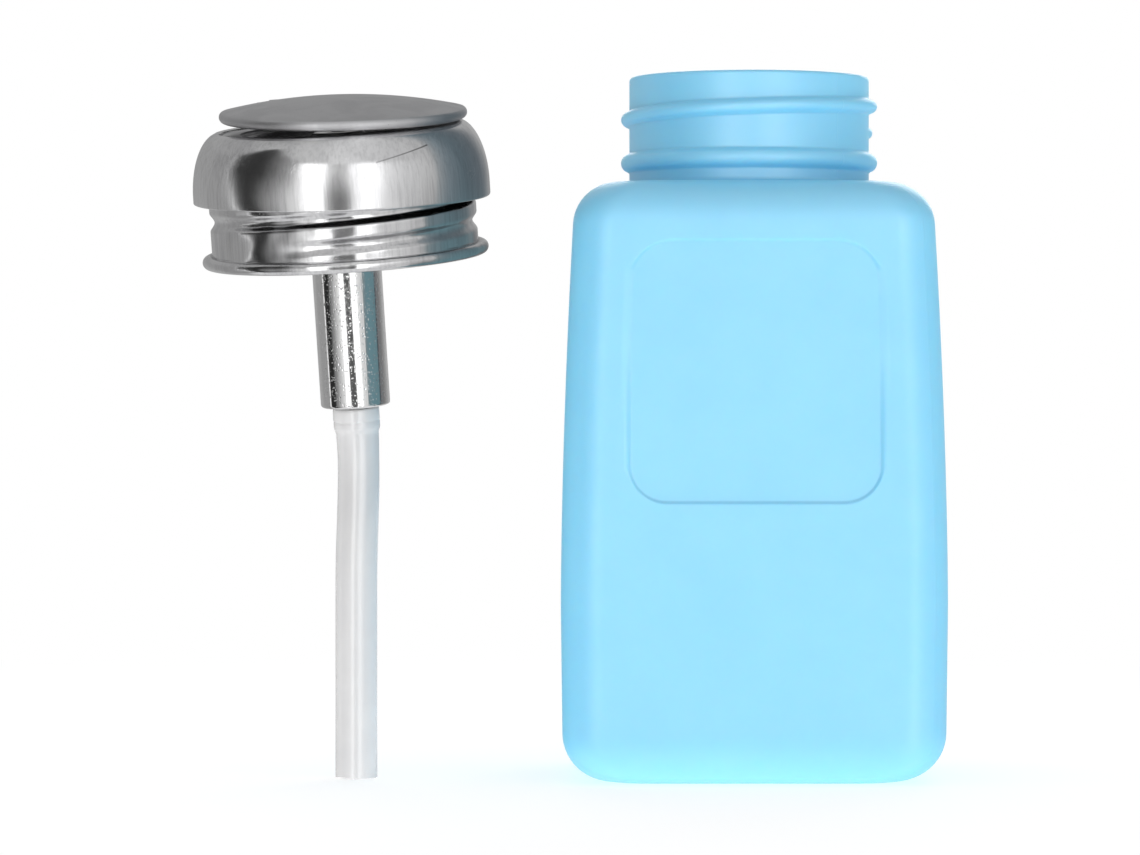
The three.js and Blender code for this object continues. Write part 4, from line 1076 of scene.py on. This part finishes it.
# The dome's scratch, from its faint to its deep end: angles from the head's front, heights along its axis.
SCRATCH_ANGLES = (radians(16.5), radians(41.0))
SCRATCH_HEIGHTS = (15.98 * MM, 17.9 * MM)
SCRATCH_WIDTH = 0.32 * MM

# Colours of that scratch and of the darkest streaks, the scale of the rolled sheet's waves, and how far
# a height of one moves the normal of a steel surface.
SCRATCH_LEVEL = 0.07
STREAK_LEVEL = 0.1
WAVE_SCALE = 170.0
STEEL_BUMP = 0.01 * MM


def dark_scratch(tree, place):
    """One on the scratch, less at its faint end, and zero off it."""
    xyz = tree.split(place)
    angle = tree.bearing(xyz)
    line = tree.clamped(angle, *SCRATCH_ANGLES, *SCRATCH_HEIGHTS)
    off = tree.math("ABSOLUTE", tree.math("SUBTRACT", xyz["Z"], line))
    near = tree.clamped(off, 0.0, SCRATCH_WIDTH / 2, 1.0, 0.0)
    along = tree.clamped(angle, *SCRATCH_ANGLES, 0.5, 1.0)
    start, end = SCRATCH_ANGLES
    inside = tree.math("COMPARE", angle, (start + end) / 2, (end - start) / 2)
    return tree.math("MULTIPLY", tree.math("MULTIPLY", near, along), inside)


def steel(tree, clean, smeared, rough, lines, pit_share, pit_scale=2600.0, pit_level=0.25, pit_depth=0.6,
          streaks=0.0, stretch=0.0, scratched=False, waves=0.0):
    """A steel finish: colours of its clean and smeared parts and the roughness of both, the height of its
    brushed lines, and its pits. streaks is how much the lines darken it, stretch draws highlights out round
    the head's axis, scratched adds the dome's dark scratch, and waves is how uneven the rolled sheet is."""
    place = place_along_head(tree)
    brushed = tree.shared("brushing", place)
    marks = tree.shared("handling_marks", place, Pit_Share=pit_share, Pit_Scale=pit_scale)
    color = tree.mix(brushed["Smears"], clean, smeared)
    if streaks:
        color = tree.mix(tree.clamped(brushed["Lines"], 0.45, 0.75, 0.0, streaks), color, STREAK_LEVEL)
    color = tree.mix(tree.clamped(marks["Pits"], 0.0, 0.3, 0.0, 0.75), color, pit_level)
    if scratched:
        color = tree.mix(dark_scratch(tree, place), color, SCRATCH_LEVEL)
    roughness = tree.clamped(brushed["Smears"], 0, 1, *rough)
    roughness = tree.math("MULTIPLY_ADD", brushed["Lines"], rough[0] / 2, roughness)
    roughness = tree.math("MULTIPLY_ADD", marks["Scratches"], 0.15, roughness)
    height = tree.math("MULTIPLY", brushed["Lines"], lines)
    height = tree.math("MULTIPLY_ADD", marks["Pits"], -pit_depth, height)
    height = tree.math("MULTIPLY_ADD", marks["Scratches"], -0.5, height)
    if waves:
        height = tree.math("MULTIPLY_ADD", tree.noise(place, WAVE_SCALE, 1.0), waves, height)
    drawn_out = {"Anisotropic": stretch, "Tangent": round_the_head(tree)} if stretch else {}
    shader = tree.add(
        "ShaderNodeBsdfPrincipled", color, Metallic=1.0, Roughness=roughness,
        Normal=tree.bump(height, 0.5, STEEL_BUMP), **drawn_out,
    )
    return shader[0]


def moulded(tree, light, deep, rough, peel_height, subsurface=0.0, radius=(1.0, 1.0, 1.0), scale=0.0,
            gloss=0.5, ior=1.5):
    """A moulded plastic or rubber: two close colours, satin skin and how deep light goes into it."""
    grain = tree.shared("moulded_grain", tree.place())
    height = tree.math("MULTIPLY_ADD", grain["Peel"], 0.25, grain["Mottle"])
    shader = tree.add(
        "ShaderNodeBsdfPrincipled", tree.mix(grain["Mottle"], light, deep), IOR=ior, Specular_IOR_Level=gloss,
        Roughness=tree.clamped(grain["Mottle"], 0, 1, rough - 0.03, rough + 0.04),
        Normal=tree.bump(height, 0.4, peel_height), Subsurface_Weight=subsurface, Subsurface_Radius=radius,
        Subsurface_Scale=scale,
    )
    return shader[0]


def milky_tube(tree):
    """Translucent natural polyethylene, a little cloudy, with faint draw lines."""
    place = tree.place()
    grain = tree.shared("moulded_grain", place, Peel_Scale=900.0, Mottle_Scale=140.0)
    drawn = tree.shared("brushing", place, Line_Scale=1500.0)
    height = tree.math("MULTIPLY_ADD", drawn["Lines"], 0.5, grain["Peel"])
    shader = tree.add(
        "ShaderNodeBsdfPrincipled", tree.mix(grain["Mottle"], (0.83, 0.825, 0.825), (0.79, 0.785, 0.79)),
        Roughness=tree.clamped(grain["Mottle"], 0, 1, 0.05, 0.08), Normal=tree.bump(height, 0.3, 0.02 * MM),
        Transmission_Weight=0.3, IOR=1.5, Specular_IOR_Level=1.0,
    )
    return shader[0]


# How each finish is made, with its own values.
FINISHES = {
    "blue_polyethylene": (moulded, dict(
        light=(0.218, 0.603, 0.83), deep=(0.203, 0.583, 0.815), rough=0.4, peel_height=0.05 * MM,
        subsurface=0.5, radius=(0.4, 1.4, 1.9), scale=0.45 * MM, gloss=1.0, ior=1.6,
    )),
    "natural_polypropylene": (moulded, dict(
        light=(0.8, 0.8, 0.77), deep=(0.76, 0.76, 0.73), rough=0.42, peel_height=0.03 * MM,
        subsurface=0.4, radius=(1.0, 1.0, 0.9), scale=1.0 * MM,
    )),
    "seal_rubber": (moulded, dict(
        light=(0.035, 0.035, 0.038), deep=(0.025, 0.025, 0.028), rough=0.62, peel_height=0.03 * MM,
    )),
    "milky_tube": (milky_tube, {}),
    "spun_steel": (steel, dict(
        clean=(0.8, 0.8, 0.805), smeared=(0.66, 0.66, 0.67), rough=(0.1, 0.15), lines=0.5, pit_share=0.1,
        streaks=0.22, stretch=0.85, scratched=True,
    )),
    "rolled_steel": (steel, dict(
        clean=(0.74, 0.74, 0.745), smeared=(0.6, 0.6, 0.61), rough=(0.12, 0.18), lines=0.3, pit_share=0.05,
        streaks=0.2, stretch=0.3, waves=110.0,
    )),
    "barrel_steel": (steel, dict(
        clean=(0.8, 0.8, 0.8), smeared=(0.76, 0.76, 0.76), rough=(0.04, 0.08), lines=0.12, pit_share=0.75,
        pit_scale=3600.0, pit_level=0.75, pit_depth=9.0,
    )),
    "satin_steel": (steel, dict(
        clean=(0.6, 0.6, 0.61), smeared=(0.54, 0.54, 0.55), rough=(0.34, 0.42), lines=0.35, pit_share=0.16,
        pit_scale=2400.0, pit_level=0.2,
    )),
    "drawn_steel": (steel, dict(
        clean=(0.62, 0.62, 0.63), smeared=(0.54, 0.54, 0.55), rough=(0.26, 0.34), lines=0.4, pit_share=0.14,
    )),
}

# Which pieces have each finish; those without a made form are the CAD's own.
FINISHED_PIECES = {
    "blue_polyethylene": ["bottle_body"],
    "natural_polypropylene": ["neck_liner", "guide_bush", "foot_valve_plug", "piston"],
    "seal_rubber": ["cylinder_washer", "piston_seal"],
    "milky_tube": ["dip_tube_milky"],
    "spun_steel": ["dome_collar_spun"],
    "rolled_steel": ["threaded_shell_sheet", "cylinder_nut", "hinge_bracket"],
    "barrel_steel": [
        "cylinder_barrel", "dish_nozzle_button", "stem", "return_spring_coil", "hinge_pin_rod", "inlet_ball",
        "inlet_ball_cage", "outlet_ball", "outlet_ball_cage",
    ],
    "satin_steel": ["lid_disc", "lid_knuckle_sleeve"],
    "drawn_steel": ["well_cup_drawn", "press_dish_spun"],
}


def give_finishes():
    for finish, names in FINISHED_PIECES.items():
        make, values = FINISHES[finish]
        material, tree = material_tree(finish)
        tree.surface(make(tree, **values))
        for name in names:
            slots = bpy.data.objects[name].data.materials
            slots.clear()
            slots.append(material)


# CAD pieces whose edges are softened and which keep their shape: (piece, edge radius).
SOFTENED = (("hinge_bracket", 0.12 * MM), ("cylinder_nut", 0.3 * MM), ("neck_liner", 0.15 * MM))


def soften_edges():
    for name, radius in SOFTENED:
        edges = frame["nodes"][name].modifiers.new("soft_edges", "BEVEL")
        edges.width = radius
        edges.segments = 2
        edges.limit_method = "ANGLE"
        edges.angle_limit = radians(40)


make_camera()
studio_world()
make_floor()
make_painted_reflection_card()
make_bottle()
make_threaded_shell()
make_dome_collar()
make_well_cup()
make_press_dish()
make_dish_nozzle()
make_cylinder()
make_lid()
make_hinge_pin()
make_lid_knuckle()
make_dip_tube()
make_return_spring()
give_finishes()
soften_edges()
make_soft_boxes()
